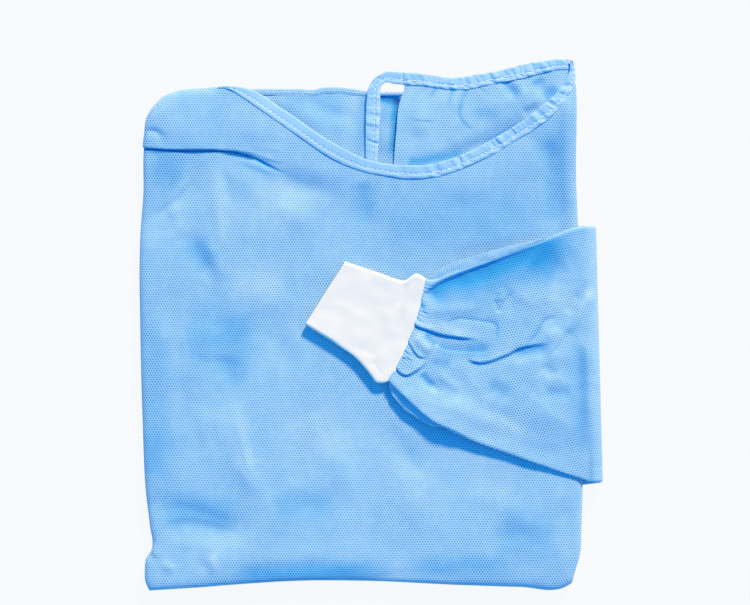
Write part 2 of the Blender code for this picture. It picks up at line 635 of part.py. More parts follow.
def back_panel_left(material):
    """Make the left back panel, inner side up, under the neck opening."""
    table = along([(x, (low + high) / 2, low, high) for x, low, high in LEFT_BACK],
                  np.linspace(0.0, 1.0, 13))
    up = np.linspace(0.0, 1.0, 7)[:, None]
    x = np.broadcast_to(table[:, 0], (len(up), len(table)))
    y = table[:, 2] * (1 - up) + table[:, 3] * up
    return grid_wall("back_panel_left", on_layer(np.stack((x, y), axis=-1), LEFT_BACK_DROP),
                     CLOTH, material)


def back_panel_right(material):
    """Make the right back panel, inner side up, over the left one."""
    across = np.linspace(0.0, 1.0, 15)
    up = np.linspace(0.0, 1.0, 9)
    plan = fill_border(along(RIGHT_BACK_LOWER, across), along(RIGHT_BACK_UPPER, across),
                       along(RIGHT_BACK_LEFT, up), along(RIGHT_BACK_RIGHT, up), across, up)
    return grid_wall("back_panel_right", on_layer(plan, RIGHT_BACK_DROP), CLOTH, material)


def binding(name, table, stations, drop, material):
    """Make a strip folded over a panel's cut edge, open towards the panel."""
    rows = along(table, np.linspace(0.0, 1.0, stations))
    open_edge, fold_edge = rows[:, :2], rows[:, 2:4]
    run = fold_edge - open_edge
    width = np.linalg.norm(run, axis=1, keepdims=True)
    rings = []
    for share, extra, level in BINDING_SECTION:
        plan = open_edge + run * share + run / width * extra
        height = base_height(plan[:, 0], plan[:, 1]) - drop + level
        rings.append(np.concatenate((plan, height[:, None]), axis=1))
    return swept_bar(name, np.stack(rings, axis=1), material)


def neck_tie(material):
    """Make the free end of the right back binding, folded over at the top and hanging down."""
    rows = along(NECK_TIE, np.linspace(0.0, 1.0, 19))
    outer, inner, drop = rows[:, :2], rows[:, 2:4], rows[:, 4]
    rings = []
    for share, level in TIE_SECTION:
        plan = inner + (outer - inner) * share
        height = base_height(plan[:, 0], plan[:, 1]) - drop + level * TIE_THICKNESS
        rings.append(np.concatenate((plan, height[:, None]), axis=1))
    return swept_bar("neck_tie", np.stack(rings, axis=1), material)


def folded_layers(material):
    """Make the hidden skirt, backs and left sleeve as one solid, layered at its edges."""
    across = np.linspace(0.0, 1.0, 13)
    up = np.linspace(0.0, 1.0, 19)
    right = [row for row in RIGHT_EDGE if row[1] < PACK_RIGHT_TOP[1]] + [PACK_RIGHT_TOP]
    sides = [along(curve, shares) for curve, shares in
             ((BOTTOM_EDGE, across), (HEAD_EDGE, across), (LEFT_EDGE, up), (right, up))]
    shape = (len(up), len(across))
    index = np.arange(shape[0] * shape[1]).reshape(shape)
    outline_grid = fill_border(*sides, across, up).reshape(-1, 2)
    rim = border_of(index)
    outline = outline_grid[rim]
    tangent = np.roll(outline, -1, axis=0) - np.roll(outline, 1, axis=0)
    inward = np.stack((-tangent[:, 1], tangent[:, 0]), axis=1)
    inward = inward / np.linalg.norm(inward, axis=1, keepdims=True)
    edge = np.roll(outline, -1, axis=0) - outline
    turn = np.abs(edge[:, 0] * inward[:, 1] - edge[:, 1] * inward[:, 0])
    mitre = np.linalg.norm(edge, axis=1) / turn
    inward = inward * np.minimum(mitre, CORNER_MITRE)[:, None]
    at_head = smoothstep(inward[:, 1] * -2.0)

    inner = np.empty(shape + (2,))
    inner.reshape(-1, 2)[rim] = outline + inward * PACK_TOP_INSET
    top = fill_border(inner[0], inner[-1], inner[:, 0], inner[:, -1], across, up)
    top_z = hidden_height(top[..., 0], top[..., 1])
    points = list(np.concatenate((top, top_z[..., None]), axis=2).reshape(-1, 3))
    rim_height = top_z.reshape(-1)[rim]
    faces = grid_faces(index)

    beside_sleeve = (outline[:, 0] > 150.0) & (inward[:, 0] < -0.7)
    beside_sleeve &= (outline[:, 1] > TUCKED_FROM_Y) & (outline[:, 1] < TUCKED_TO_Y)
    previous = np.array(rim)
    for number, (share, side_inset, head_inset) in enumerate(PACK_RINGS[::-1]):
        inset = side_inset + (head_inset - side_inset) * at_head
        inset = inset + LAYER_WANDER * np.sin(outline.sum(axis=1) / 31.0 + number * 1.9)
        if len(PACK_RINGS) - number <= TUCKED_RINGS:
            inset = np.where(beside_sleeve, TUCKED_INSET, inset)
        plan = outline + inward * inset[:, None]
        start = len(points)
        points += [np.array((p[0], p[1], z)) for p, z in zip(plan, rim_height * share)]
        current = np.arange(start, start + len(rim))
        for k in range(len(rim)):
            following = (k + 1) % len(rim)
            faces.append((previous[following], previous[k], current[k], current[following]))
        previous = current
    faces.append(tuple(previous[::-1]))
    return make_object("folded_layers", np.array(points), faces, material)


def tube_places(width, counts):
    """Return distances across a flat tube and which layer each is on: 1 upper, -1 lower."""
    near = [0.0, 0.3 * EDGE_ROUND, EDGE_ROUND]
    upper = near + list(np.linspace(EDGE_ROUND, width - EDGE_ROUND, counts[0])[1:-1]) \
        + [width - distance for distance in near[::-1]]
    lower = [width - near[1], width - near[2]] \
        + list(np.linspace(width - EDGE_ROUND, EDGE_ROUND, counts[1])[1:-1]) \
        + [near[2], near[1]]
    return np.array(upper + lower), np.array([1.0] * len(upper) + [-1.0] * len(lower))


def section_frame(upper_end, lower_end):
    """Return a section's width, its direction and the way that the tube runs past it."""
    run = np.array(lower_end) - np.array(upper_end)
    width = np.linalg.norm(run)
    direction = run / width
    return width, direction, np.array((-direction[1], direction[0]))


def flat_ring(upper_end, lower_end, bow, thickness, counts, reach=0.0):
    """Return one ring of a flattened tube: plan points, layer, share across, half thickness."""
    width, direction, onward = section_frame(upper_end, lower_end)
    places, layer = tube_places(width, counts)
    share = places / width
    edge = np.minimum(np.minimum(places, width - places) / EDGE_ROUND, 1.0)
    round_off = np.sqrt(1.0 - (1.0 - edge) ** 2)
    slide = reach * (1.0 - layer * round_off) / 2.0 * smoothstep((share - 0.8) / 0.2)
    plan = np.array(upper_end) + direction * (places + slide)[:, None] \
        + onward * (bow * 4.0 * share * (1.0 - share))[:, None]
    return plan, layer, share, round_off * thickness / 2.0


def tube_middle(plan, share, thickness):
    """Return the height of a flat tube's middle: it rests on the body and lifts at its lower edge."""
    return base_height(plan[:, 0], plan[:, 1]) + SLEEVE_REST + thickness / 2.0 \
        + SLEEVE_LIFT * share ** 2


def gather_wave(share, distance, layer):
    """Return the gathers beside the cuff seam, which die out along the sleeve."""
    turns = GATHERS * (share + 0.02 * np.sin(9.0 * share)) + np.where(layer > 0, 0.0, 0.4)
    edge = smoothstep(np.minimum(share, 1.0 - share) * 9.0)
    return GATHER_HEIGHT * np.cos(2.0 * np.pi * turns) * np.exp(-distance / GATHER_REACH) * edge


def sleeve_flat_rings():
    """Return the rings of the sleeve from the cuff seam to its fold, and its last frame."""
    upper_ends = along(SLEEVE_UPPER, SLEEVE_STATIONS)
    lower_ends = along(SLEEVE_LOWER, SLEEVE_STATIONS)
    reaches = np.interp(SLEEVE_STATIONS, *zip(*UNDER_LAYER))
    rings = []
    for station, upper_end, lower_end, reach in zip(SLEEVE_STATIONS, upper_ends, lower_ends,
                                                    reaches):
        bow = SEAM_BOW * max(1.0 - station / 0.3, 0.0)
        plan, layer, share, half = flat_ring(upper_end, lower_end, bow, SLEEVE_THICKNESS,
                                             SLEEVE_POINTS, reach)
        lift = 1.0 - smoothstep((station - 0.7) / 0.3)
        middle = base_height(plan[:, 0], plan[:, 1]) + SLEEVE_REST + SLEEVE_THICKNESS / 2.0 \
            + SLEEVE_LIFT * share ** 2 * lift
        distance = station * (150.0 + 55.0 * share)
        relief = fold_relief(plan[:, 0], plan[:, 1], SLEEVE_FOLDS)
        relief = relief * smoothstep(half / SLEEVE_THICKNESS * 2.0) * (layer > 0)
        wave = gather_wave(share, distance, layer) * np.where(layer > 0, 1.0, 0.5)
        height = middle + layer * half + relief + wave
        rings.append(np.concatenate((plan, height[:, None]), axis=1))
    return rings


def sleeve_fold_rings():
    """Return the rings round the sleeve's fold and those of its end under the pack."""
    upper_end = np.array(SLEEVE_UPPER[-1])
    lower_end = np.array(SLEEVE_LOWER[-1])
    top_middle = BODY_HEIGHT + SLEEVE_REST + SLEEVE_THICKNESS / 2.0
    low_middle = BACK_SLEEVE_THICKNESS / 2.0
    turn_radius = (top_middle - low_middle) / 2.0
    turns = [(np.pi * k / FOLD_TURNS, 0.0) for k in range(1, FOLD_TURNS + 1)]
    turns += [(np.pi, step) for step in BACK_SLEEVE_STEPS]
    rings = []
    for number, (angle, step) in enumerate(turns):
        done = (number + 1) / len(turns)
        direction = section_frame(upper_end, lower_end)[1]
        spread_end = lower_end + direction * BACK_SLEEVE_SPREAD * done
        thickness = SLEEVE_THICKNESS + (BACK_SLEEVE_THICKNESS - SLEEVE_THICKNESS) * angle / np.pi
        plan, layer, share, half = flat_ring(upper_end, spread_end, 0.0, thickness,
                                             SLEEVE_POINTS)
        onward = section_frame(upper_end, spread_end)[2]
        radius = turn_radius + layer * half
        plan = plan + onward * (radius * np.sin(angle) - step)[:, None]
        height = top_middle - turn_radius + radius * np.cos(angle)
        rings.append(np.concatenate((plan, height[:, None]), axis=1))
    return rings


def right_sleeve(material):
    """Make the sleeve: a flattened tube from the cuff, across the body and round its fold."""
    rings = np.array(sleeve_flat_rings() + sleeve_fold_rings())
    return tube_wall("right_sleeve", rings, CLOTH, material)


def knit_cuff(material):
    """Make the knit cuff: a short flattened tube with an ear at each end of its seam."""
    onward = section_frame(SLEEVE_UPPER[0], SLEEVE_LOWER[0])[2]
    last = np.array((SLEEVE_UPPER[0], SLEEVE_LOWER[0])) - onward * SEAM_SPACE
    sections = list(CUFF_SECTIONS) + [tuple(last.ravel()) + (SEAM_BOW,)]
    rings = []
    for upper_x, upper_y, lower_x, lower_y, bow in sections:
        plan, layer, share, half = flat_ring((upper_x, upper_y), (lower_x, lower_y), bow,
                                             CUFF_THICKNESS, CUFF_POINTS)
        height = tube_middle(plan, share, SLEEVE_THICKNESS) + layer * half
        rings.append(np.concatenate((plan, height[:, None]), axis=1))
    return tube_wall("knit_cuff", np.array(rings), KNIT, material)


def sleeve_seam_flange(material):
    """Make the welded seam allowance that stands out along the sleeve's upper edge."""
    shares = np.linspace(FLANGE[0][0], FLANGE[-1][0], 17)
    edge = along(SLEEVE_UPPER, shares)
    widths = np.interp(shares, *zip(*FLANGE))
    slope = np.gradient(edge, axis=0)
    outward = np.stack((-slope[:, 1], slope[:, 0]), axis=1)
    outward = outward / np.linalg.norm(outward, axis=1, keepdims=True)
    rows = [edge + outward * (FLANGE_GAP + widths * part)[:, None] for part in (0.0, 0.5, 1.0)]
    plan = np.stack(rows)
    height = base_height(plan[..., 0], plan[..., 1]) + SLEEVE_REST + SLEEVE_THICKNESS / 2.0
    grid = np.concatenate((plan, height[..., None]), axis=2)
    return grid_wall("sleeve_seam_flange", grid, FLANGE_THICKNESS, material)


def centre_on_table(items):
    """Place the pieces so that the whole gown is centred over the origin, on the table."""
    corners = np.array([vertex.co for item in items for vertex in item.data.vertices])
    low, high = corners.min(axis=0), corners.max(axis=0)
    for item in items:
        item.location = (-(low[0] + high[0]) / 2, -(low[1] + high[1]) / 2, -low[2])


def main():
    """Build every piece of the folded gown."""
    clear_scene()
    blue = cloth_material("blue_nonwoven", SMOKE_BLUE, 0.75)
    pale = cloth_material("neck_binding", PALE_BLUE, 0.7)
    white = cloth_material("white_knit", KNIT_WHITE, 0.85)
    items = [
        folded_layers(blue),
        front_panel(blue),
        back_panel_left(blue),
        back_panel_right(blue),
        binding("neck_binding_front", FRONT_BINDING + NECK_CORNER, 58, 0.0, pale),
        binding("neck_binding_back_right", RIGHT_BACK_BINDING, 19, RIGHT_BACK_DROP, pale),
        binding("neck_binding_back_left", LEFT_BACK_BINDING, 16, LEFT_BACK_DROP, pale),
        neck_tie(pale),
        right_sleeve(blue),
        sleeve_seam_flange(blue),
        knit_cuff(white),
    ]
    centre_on_table(items)


main()
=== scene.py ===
# %% [markdown]
# # A disposable lab gown, folded flat
#
# The gown lies on a table with its front uppermost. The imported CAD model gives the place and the
# size of every piece. Here each solid gets the cloth, knit, tape and stitches that it has on the
# real gown, as thin shells on the same forms.
#
# Lengths are in millimetres until a mesh is made, because cloth is cut and sewn in millimetres.

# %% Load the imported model
from functools import partial
import bpy
import numpy as np
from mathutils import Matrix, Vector


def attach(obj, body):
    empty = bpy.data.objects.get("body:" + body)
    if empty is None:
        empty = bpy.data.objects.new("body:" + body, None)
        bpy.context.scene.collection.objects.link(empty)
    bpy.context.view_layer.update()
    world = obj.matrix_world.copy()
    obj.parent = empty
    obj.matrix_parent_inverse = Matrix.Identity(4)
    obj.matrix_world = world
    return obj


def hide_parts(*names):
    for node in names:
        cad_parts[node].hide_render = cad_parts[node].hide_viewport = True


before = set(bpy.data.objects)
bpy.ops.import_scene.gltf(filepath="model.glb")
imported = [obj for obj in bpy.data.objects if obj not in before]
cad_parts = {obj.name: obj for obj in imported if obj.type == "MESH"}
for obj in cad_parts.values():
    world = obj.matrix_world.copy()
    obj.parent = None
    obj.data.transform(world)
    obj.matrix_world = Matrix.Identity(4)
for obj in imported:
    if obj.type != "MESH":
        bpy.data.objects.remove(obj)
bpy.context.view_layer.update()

METRE = 0.001
TABLE_SHIFT = np.array((0.163, 0.273, 0.0))
print("nodes of the gown:", ", ".join(sorted(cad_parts)))

# %% [markdown]
# ## Camera, light and floor
#
# The gown is seen from straight above, from about arm's length and a half. A long lens keeps the
# outline free of perspective. The picture frame is 750 by 605, and the gown fills most of it.
#
# One broad soft light stands beyond the neck, a little to the right, and the room fills the shade
# with a pale blue, as cloth lights its own folds. The floor mostly glows by itself, so it reads as
# the plain paper under a packshot and takes next to no shadow.

# %% Camera
PICTURE_SCALE = 0.87
PICTURE_MIDDLE = (371.0, 325.0)
VIEW_MIDDLE = (375.0, 302.5)
VIEW_WIDTH = 750.0
CAMERA_HEIGHT = 2.5
CAMERA_REACH = 20.0
SENSOR = 36.0
CLOTH_LEVEL = 17.0


def picture(points):
    """Turn places measured on the reference picture into millimetres on the table."""
    rows = np.array(points, dtype=float)
    rows[:, 0] = PICTURE_SCALE * (rows[:, 0] - PICTURE_MIDDLE[0])
    rows[:, 1] = PICTURE_SCALE * (PICTURE_MIDDLE[1] - rows[:, 1])
    return rows


def add_object(name, data):
    """Put an object made of the given data into the scene."""
    item = bpy.data.objects.new(name, data)
    bpy.context.scene.collection.objects.link(item)
    return item


centre = picture([VIEW_MIDDLE])[0]
camera_data = bpy.data.cameras.new("overhead")
camera_data.sensor_width = SENSOR
frame_width = VIEW_WIDTH * PICTURE_SCALE * METRE
camera_data.lens = SENSOR * (CAMERA_HEIGHT - CLOTH_LEVEL * METRE) / frame_width
camera_data.clip_end = CAMERA_REACH
camera = add_object("overhead", camera_data)
camera.location = (centre[0] * METRE, centre[1] * METRE, CAMERA_HEIGHT)
bpy.context.scene.camera = camera
print("camera lens", round(camera_data.lens, 1), "mm")

# %% Light
KEY_FROM = Vector((0.30, 0.80, 0.56))
KEY_STRENGTH = 5.4
KEY_COLOUR = (1.0, 0.64, 0.30)
KEY_SPREAD = 8.0
FILL_COLOUR = (0.06, 0.43, 0.82)
FILL_STRENGTH = 1.0

key_data = bpy.data.lights.new("window", "SUN")
key_data.energy = KEY_STRENGTH
key_data.color = KEY_COLOUR
key_data.angle = np.radians(KEY_SPREAD)
key = add_object("window", key_data)
key.rotation_euler = KEY_FROM.to_track_quat("Z", "Y").to_euler()

world = bpy.data.worlds.new("room")
world.use_nodes = True
bpy.context.scene.world = world
room = world.node_tree.nodes["Background"].inputs
room["Color"].default_value = (*FILL_COLOUR, 1.0)
room["Strength"].default_value = FILL_STRENGTH
bpy.context.scene.view_settings.view_transform = "Standard"
bpy.context.scene.view_settings.look = "None"

# %% [markdown]
# ## Shader helpers
#
# A material is a graph of nodes. Written out by hand, the sums in it take dozens of lines, so one
# small class wraps a socket and lets Python's own operators add the Math nodes. Every other node
# comes from one function, which sets the node's settings first and its sockets after. The same two
# serve the stitches further down, whose node tree is no material.

# %% Sockets that can be added and multiplied
FIBRE_GLOSS = 0.25


class Shade:
    """An output socket in a node tree, which takes part in sums."""

    def __init__(self, tree, socket):
        self.tree, self.socket = tree, socket

    def maths(self, operation, *values):
        """Add a Math node on this socket and the values."""
        node = self.tree.nodes.new("ShaderNodeMath")
        node.operation = operation
        for slot, value in zip(node.inputs, (self,) + values):
            join(self.tree, slot, value)
        return Shade(self.tree, node.outputs[0])

    def __add__(self, other):
        return self.maths("ADD", other)

    def __sub__(self, other):
        return self.maths("SUBTRACT", other)

    def __mul__(self, other):
        return self.maths("MULTIPLY", other)

    def __truediv__(self, other):
        return self.maths("DIVIDE", other)

    def __rsub__(self, other):
        return (self * -1.0) + other


def join(tree, slot, value):
    """Link a socket to a slot, or set the slot to a plain value."""
    if isinstance(value, Shade):
        tree.links.new(value.socket, slot)
    else:
        slot.default_value = value


def add_node(tree, kind, settings=None, output=0, **values):
    """Add a node, its settings first, then its sockets by number or name."""
    node = tree.nodes.new(kind)
    for name, value in (settings or {}).items():
        setattr(node, name, value)
    for name, value in values.items():
        by_number = name[1:].isdigit()
        slot = node.inputs[int(name[1:]) if by_number else name.replace("_", " ")]
        join(tree, slot, value)
    return Shade(tree, node.outputs[output])


class Finish:
    """A material under construction."""

    def __init__(self, name):
        self.material = bpy.data.materials.new(name)
        self.material.use_nodes = True
        self.tree = self.material.node_tree
        self.shader = self.tree.nodes["Principled BSDF"]

    def node(self, *kind_and_settings, **values):
        """Add a node to this material."""
        return add_node(self.tree, *kind_and_settings, **values)

    def mix(self, share, first, second):
        """Mix two colours, the second by the given share."""
        return self.node("ShaderNodeMix", {"data_type": "RGBA"}, 2, i0=share, i6=first, i7=second)

    def noise(self, where, scale, detail=2.0, roughness=0.5):
        """Add soft noise, about 0 to 1, on millimetres."""
        return self.node("ShaderNodeTexNoise", Vector=where, Scale=scale, Detail=detail,
                         Roughness=roughness)

    def ramp(self, value, low, high):
        """Rise smoothly from 0 to 1 as the socket goes from low to high."""
        return self.node("ShaderNodeMapRange", {"interpolation_type": "SMOOTHSTEP"},
                         i0=value, i1=low, i2=high)

    def finish(self, colour, roughness, height, depth, sheen=0.0):
        """Link the colour, roughness and relief to the surface."""
        bump = self.node("ShaderNodeBump", Distance=depth * METRE, Strength=1.0, Height=height)
        self.shader.inputs["Specular IOR Level"].default_value = FIBRE_GLOSS
        self.shader.inputs["Sheen Weight"].default_value = sheen
        for slot, value in (("Base Color", colour), ("Roughness", roughness), ("Normal", bump)):
            join(self.tree, self.shader.inputs[slot], value)
        return self.material


# %% Floor
FLOOR_SIZE = 8.0
FLOOR_GLOW = (0.925, 0.945, 0.965, 1.0)
FLOOR_PAINT = (0.02, 0.02, 0.02, 1.0)
FLOOR_GLOW_STRENGTH = 0.99
FLOOR_LEVEL = -0.0002

paper = Finish("studio_paper")
for socket, value in (("Base Color", FLOOR_PAINT), ("Roughness", 1.0),
                      ("Specular IOR Level", 0.0), ("Emission Color", FLOOR_GLOW),
                      ("Emission Strength", FLOOR_GLOW_STRENGTH)):
    paper.shader.inputs[socket].default_value = value
floor_mesh = bpy.data.meshes.new("studio_floor")
corners = [(x * FLOOR_SIZE / 2, y * FLOOR_SIZE / 2, FLOOR_LEVEL)
           for x, y in ((-1, -1), (1, -1), (1, 1), (-1, 1))]
floor_mesh.from_pydata(corners, [], [(0, 1, 2, 3)])
floor_mesh.materials.append(paper.material)
floor = add_object("studio_floor", floor_mesh)
print("floor and light are set")

# %% [markdown]
# ## The cloth's finish
#
# The gown is spunbond nonwoven: a felt of fine plastic fibres, welded together in a lattice of
# tiny dots. The dots are clear and slightly sunk, so they look darker than the fluffy fibre
# between them. An image could hold such a lattice, but a formula stays sharp at any size: the
# distance to the nearest point of a honeycomb lattice, read on the cloth's own cutting plan.
#
# Shade and light are also painted into the colour: each point of a cloth carries a number named
# "tone", set where the cloth lies in shade or catches the light. Above 0 it deepens the blue as
# painted shade, below 0 it makes it paler as painted light, and above 1 it goes on to the deepest
# painted shade.

# %% Nonwoven cloth, its binding tape, knit and thread
DOT_PITCH = 2.3
DOT_RADIUS = 0.31
HONEYCOMB = 3.0 ** 0.5
CLOTH_BLUE = (0.385, 0.68, 0.94, 1.0)
CLOTH_DEEP = (0.33, 0.63, 0.92, 1.0)
DOT_BLUE = (0.03, 0.24, 0.62, 1.0)
# The deepest painted shade, for the darkest shadows and for the dots inside painted shade
DEEPEST_PAINTED_SHADE_BLUE = (0.0, 0.12, 0.46, 1.0)
TAPE_BLUE = (0.36, 0.655, 0.94, 1.0)
TAPE_DEEP = (0.30, 0.595, 0.92, 1.0)
TAPE_DOT = (0.10, 0.36, 0.76, 1.0)
KNIT_WHITE = (0.83, 0.85, 0.85, 1.0)
# The knit's painted shade, for the hollows of its courses and ribs
KNIT_PAINTED_SHADE = (0.79, 0.81, 0.84, 1.0)
COURSE_PITCH = 1.5
RIB_PITCH = 1.15
THREAD_WHITE = (0.80, 0.91, 0.99, 1.0)
# The thread's painted shade, for the low parts of its twist
THREAD_PAINTED_SHADE = (0.62, 0.80, 0.96, 1.0)
THREAD_TWIST = 2600.0
# Painted shade and painted light, laid on the cloth's colour by its tone attribute
PAINTED_SHADE_BLUE = (0.03, 0.41, 0.86, 1.0)
PAINTED_LIGHT_BLUE = (0.56, 0.80, 0.97, 1.0)


def cloth_place(finish):
    """Return the place on the cutting plan, in millimetres, as a vector and its two parts."""
    place = finish.node("ShaderNodeUVMap", {"uv_map": "cloth"})
    return [place] + [finish.node("ShaderNodeSeparateXYZ", output=axis, i0=place)
                      for axis in (0, 1)]


def lattice_gap(across, up, offset):
    """Return the distance to the nearest point of one rectangular lattice, in pitches."""
    side = (across + offset).maths("FRACT") - 0.5
    rise = ((up + offset).maths("FRACT") - 0.5) * HONEYCOMB
    return (side * side + rise * rise).maths("SQRT")


def nonwoven(name, light, deep, dot, dot_strength):
    """Return an embossed nonwoven: welded dots between soft fibre, clouded here and there."""
    cloth = Finish(name)
    place, across, up = cloth_place(cloth)
    wander = cloth.noise(place, 0.05) - 0.5
    across = (across + wander * 2.0) / DOT_PITCH
    up = (up + wander * 2.0) / (DOT_PITCH * HONEYCOMB)
    gap = lattice_gap(across, up, 0.0).maths("MINIMUM", lattice_gap(across, up, 0.5))
    welded = 1.0 - cloth.ramp(gap, DOT_RADIUS * 0.55, DOT_RADIUS * 1.35)
    clouds = cloth.noise(place, 0.035, 3.0)
    fibre = cloth.noise(place, 1.9, 4.0, 0.65)
    fleece = cloth.noise(place, 0.35, 3.0, 0.6)
    tone = cloth.ramp(clouds * 0.55 + fleece * 0.25 + fibre * 0.2, 0.36, 0.62)
    felt = cloth.mix(tone, deep, light)
    # Painted shade and painted light from the tone attribute: above 0 towards the painted shade,
    # above 1 on to the deepest painted shade, below 0 towards the painted light
    painted_shade_and_light = cloth.node("ShaderNodeAttribute", {"attribute_name": "tone"}, 2)
    close = painted_shade_and_light.maths("MAXIMUM", 0.0)
    felt = cloth.mix(close, felt, PAINTED_SHADE_BLUE)
    felt = cloth.mix((painted_shade_and_light - 1.0).maths("MAXIMUM", 0.0), felt, DEEPEST_PAINTED_SHADE_BLUE)
    felt = cloth.mix((painted_shade_and_light * -1.0).maths("MAXIMUM", 0.0), felt, PAINTED_LIGHT_BLUE)
    strength = cloth.ramp(cloth.noise(place, 0.12), 0.25, 0.6) * 0.3 \
        + cloth.ramp(cloth.noise(place, 0.012), 0.35, 0.65) * 0.25 + 0.43
    # The dots darken with the painted shade as well
    dot = cloth.mix(close, dot, DEEPEST_PAINTED_SHADE_BLUE)
    colour = cloth.mix(welded * strength * dot_strength, felt, dot)
    height = 1.0 - welded * dot_strength + fibre * 0.35 + fleece * 0.3
    roughness = 0.82 - welded * 0.3
    return cloth.finish(colour, roughness, height, 0.16, 0.25)


def knit(name):
    """Return a fine tubular knit: courses round the wrist, with faint ribs along it."""
    cuff = Finish(name)
    place, across, up = cloth_place(cuff)
    wander = (cuff.noise(place, 0.08) - 0.5) * 1.6
    course = ((across + wander) * (2.0 * np.pi / COURSE_PITCH)).maths("SINE") * 0.5 + 0.5
    rib = ((up + wander) * (2.0 * np.pi / RIB_PITCH)).maths("SINE") * 0.5 + 0.5
    fluff = cuff.noise(place, 2.2, 3.0, 0.6)
    height = course * 0.55 + rib * 0.35 + fluff * 0.4
    # The hollows between the courses and ribs take the darker colour: painted shade
    tone = cuff.ramp(height, 0.15, 0.75)
    colour = cuff.mix(tone, KNIT_PAINTED_SHADE, KNIT_WHITE)
    return cuff.finish(colour, 0.9 - fluff * 0.1, height, 0.08, 0.1)


def thread(name):
    """Return a bright twisted sewing thread."""
    yarn = Finish(name)
    where = yarn.node("ShaderNodeTexCoord", output=3)
    twist = yarn.noise(where, THREAD_TWIST)
    # The low parts of the twist take the darker colour: painted shade
    tone = yarn.mix(yarn.ramp(twist, 0.3, 0.7), THREAD_PAINTED_SHADE, THREAD_WHITE)
    return yarn.finish(tone, 0.55, twist, 0.05, 0.2)


BLUE_CLOTH = nonwoven("blue_nonwoven_cloth", CLOTH_BLUE, CLOTH_DEEP, DOT_BLUE, 0.95)
TAPE = nonwoven("binding_tape", TAPE_BLUE, TAPE_DEEP, TAPE_DOT, 0.5)
KNIT = knit("white_cuff_knit")
THREAD = thread("sewing_thread")
print("finishes:", BLUE_CLOTH.name, TAPE.name, KNIT.name, THREAD.name)

# %% [markdown]
# ## From measured lines to smooth cloth
#
# A pattern maker draws a few points and a flexible curve through them. The next helpers do the
# same: a smooth curve through a short table, its rows at even shares of its length, and a grid
# stretched between four border curves. The tables are those of the CAD part.

# %% Curves and grids


def smoothstep(value, start=0.0, end=1.0):
    """Rise smoothly from 0 to 1 as the value goes from start to end."""
    share = np.clip((value - start) / (end - start), 0.0, 1.0)
    return share * share * (3.0 - 2.0 * share)


def unit(vectors):
    """Return the vectors with a length of 1."""
    return vectors / np.maximum(np.linalg.norm(vectors, axis=-1, keepdims=True), 1e-9)


def travelled(points):
    """Return how far each point of a line, or of many beside each other, is from its first."""
    steps = np.linalg.norm(np.diff(points, axis=0), axis=-1)
    return np.concatenate((np.zeros((1,) + steps.shape[1:]), np.cumsum(steps, axis=0)))


def rows_at(wanted, length, rows):
    """Return a line's rows at the wanted lengths, from the length at each of its rows."""
    return np.stack([np.interp(wanted, length, column) for column in rows.T], axis=-1)


def smooth_curve(points, steps=14):
    """Return a dense smooth curve through rows whose first two columns are x and y."""
    knots = np.array(points, dtype=float)
    at = travelled(knots[:, :2])
    slopes = np.gradient(knots, at, axis=0)
    t = (np.arange(steps) / steps)[None, :, None]
    length = np.diff(at)[:, None, None]
    low, high = knots[:-1, None], knots[1:, None]
    rows = (1 + 2 * t) * (1 - t) ** 2 * low + t * (1 - t) ** 2 * length * slopes[:-1, None] \
        + t * t * (3 - 2 * t) * high - t * t * (1 - t) * length * slopes[1:, None]
    return np.concatenate((rows.reshape(-1, knots.shape[1]), knots[-1:]))


def along(points, shares, climb=1.0):
    """Return rows at the given shares of the smooth curve's length, counting y by the climb."""
    dense = smooth_curve(points)
    length = travelled(dense[:, :2] * (1.0, climb))
    return rows_at(np.asarray(shares) * length[-1], length, dense)


def fill_border(low, high, near, far, across, up):
    """Fill a grid of plan points between four border rows that meet at their ends."""
    u, v = across[None, :, None], up[:, None, None]
    corners = (1 - v) * ((1 - u) * low[0] + u * low[-1]) \
        + v * ((1 - u) * high[0] + u * high[-1])
    return (1 - v) * low + v * high + (1 - u) * near[:, None] + u * far[:, None] - corners


def grid_normals(grid):
    """Return the unit normals of a grid of points, each the mean of the patches round it."""
    patches = unit(np.cross(grid[1:, 1:] - grid[:-1, :-1], grid[1:, :-1] - grid[:-1, 1:]))
    normals = np.zeros(grid.shape)
    for rows in (slice(None, -1), slice(1, None)):
        for columns in (slice(None, -1), slice(1, None)):
            normals[rows, columns] += patches
    return unit(normals)


def raised(plan, height):
    """Return plan points with their heights as the third number."""
    return np.concatenate((plan, height[..., None]), axis=-1)


def closed(rings):
    """Return rings whose last point repeats their first."""
    return np.concatenate((rings, rings[:, :1]), axis=1)


# %% [markdown]
# ## Shells
#
# Real nonwoven is a third of a millimetre thick. Each piece here is a closed shell a little
# thicker than that: a grid of points, moved half the thickness out and half in, and joined at its
# border. Each corner of each face also remembers its place on the cutting plan, in the UV map
# "cloth", so that the dots run with the cloth and not with the room.

# %% Meshes from grids
CLOTH = 0.6
SHARP_ANGLE = 70.0


def make_piece(name, points, faces, plan, material, tone=None):
    """Make one mesh object from points and faces, with a cutting-plan place for each corner."""
    mesh = bpy.data.meshes.new(name)
    mesh.from_pydata(((points + TABLE_SHIFT) * METRE).tolist(), [], faces)
    mesh.uv_layers.new(name="cloth").data.foreach_set("uv", plan.reshape(-1))
    # The tone attribute holds the painted shade and painted light of the cloth's colour
    if tone is not None:
        mesh.attributes.new("tone", "FLOAT", "POINT").data.foreach_set("value", tone)
    mesh.materials.append(material)
    mesh.shade_smooth()
    mesh.set_sharp_from_angle(angle=np.radians(SHARP_ANGLE))
    print(name, "has", len(points), "points and", len(faces), "faces")
    return add_object(name, mesh)


def patch_corners(index):
    """Return the four-cornered faces of a grid of numbers, facing up."""
    return np.stack((index[:-1, :-1], index[:-1, 1:], index[1:, 1:], index[1:, :-1]),
                    axis=-1).reshape(-1, 4)


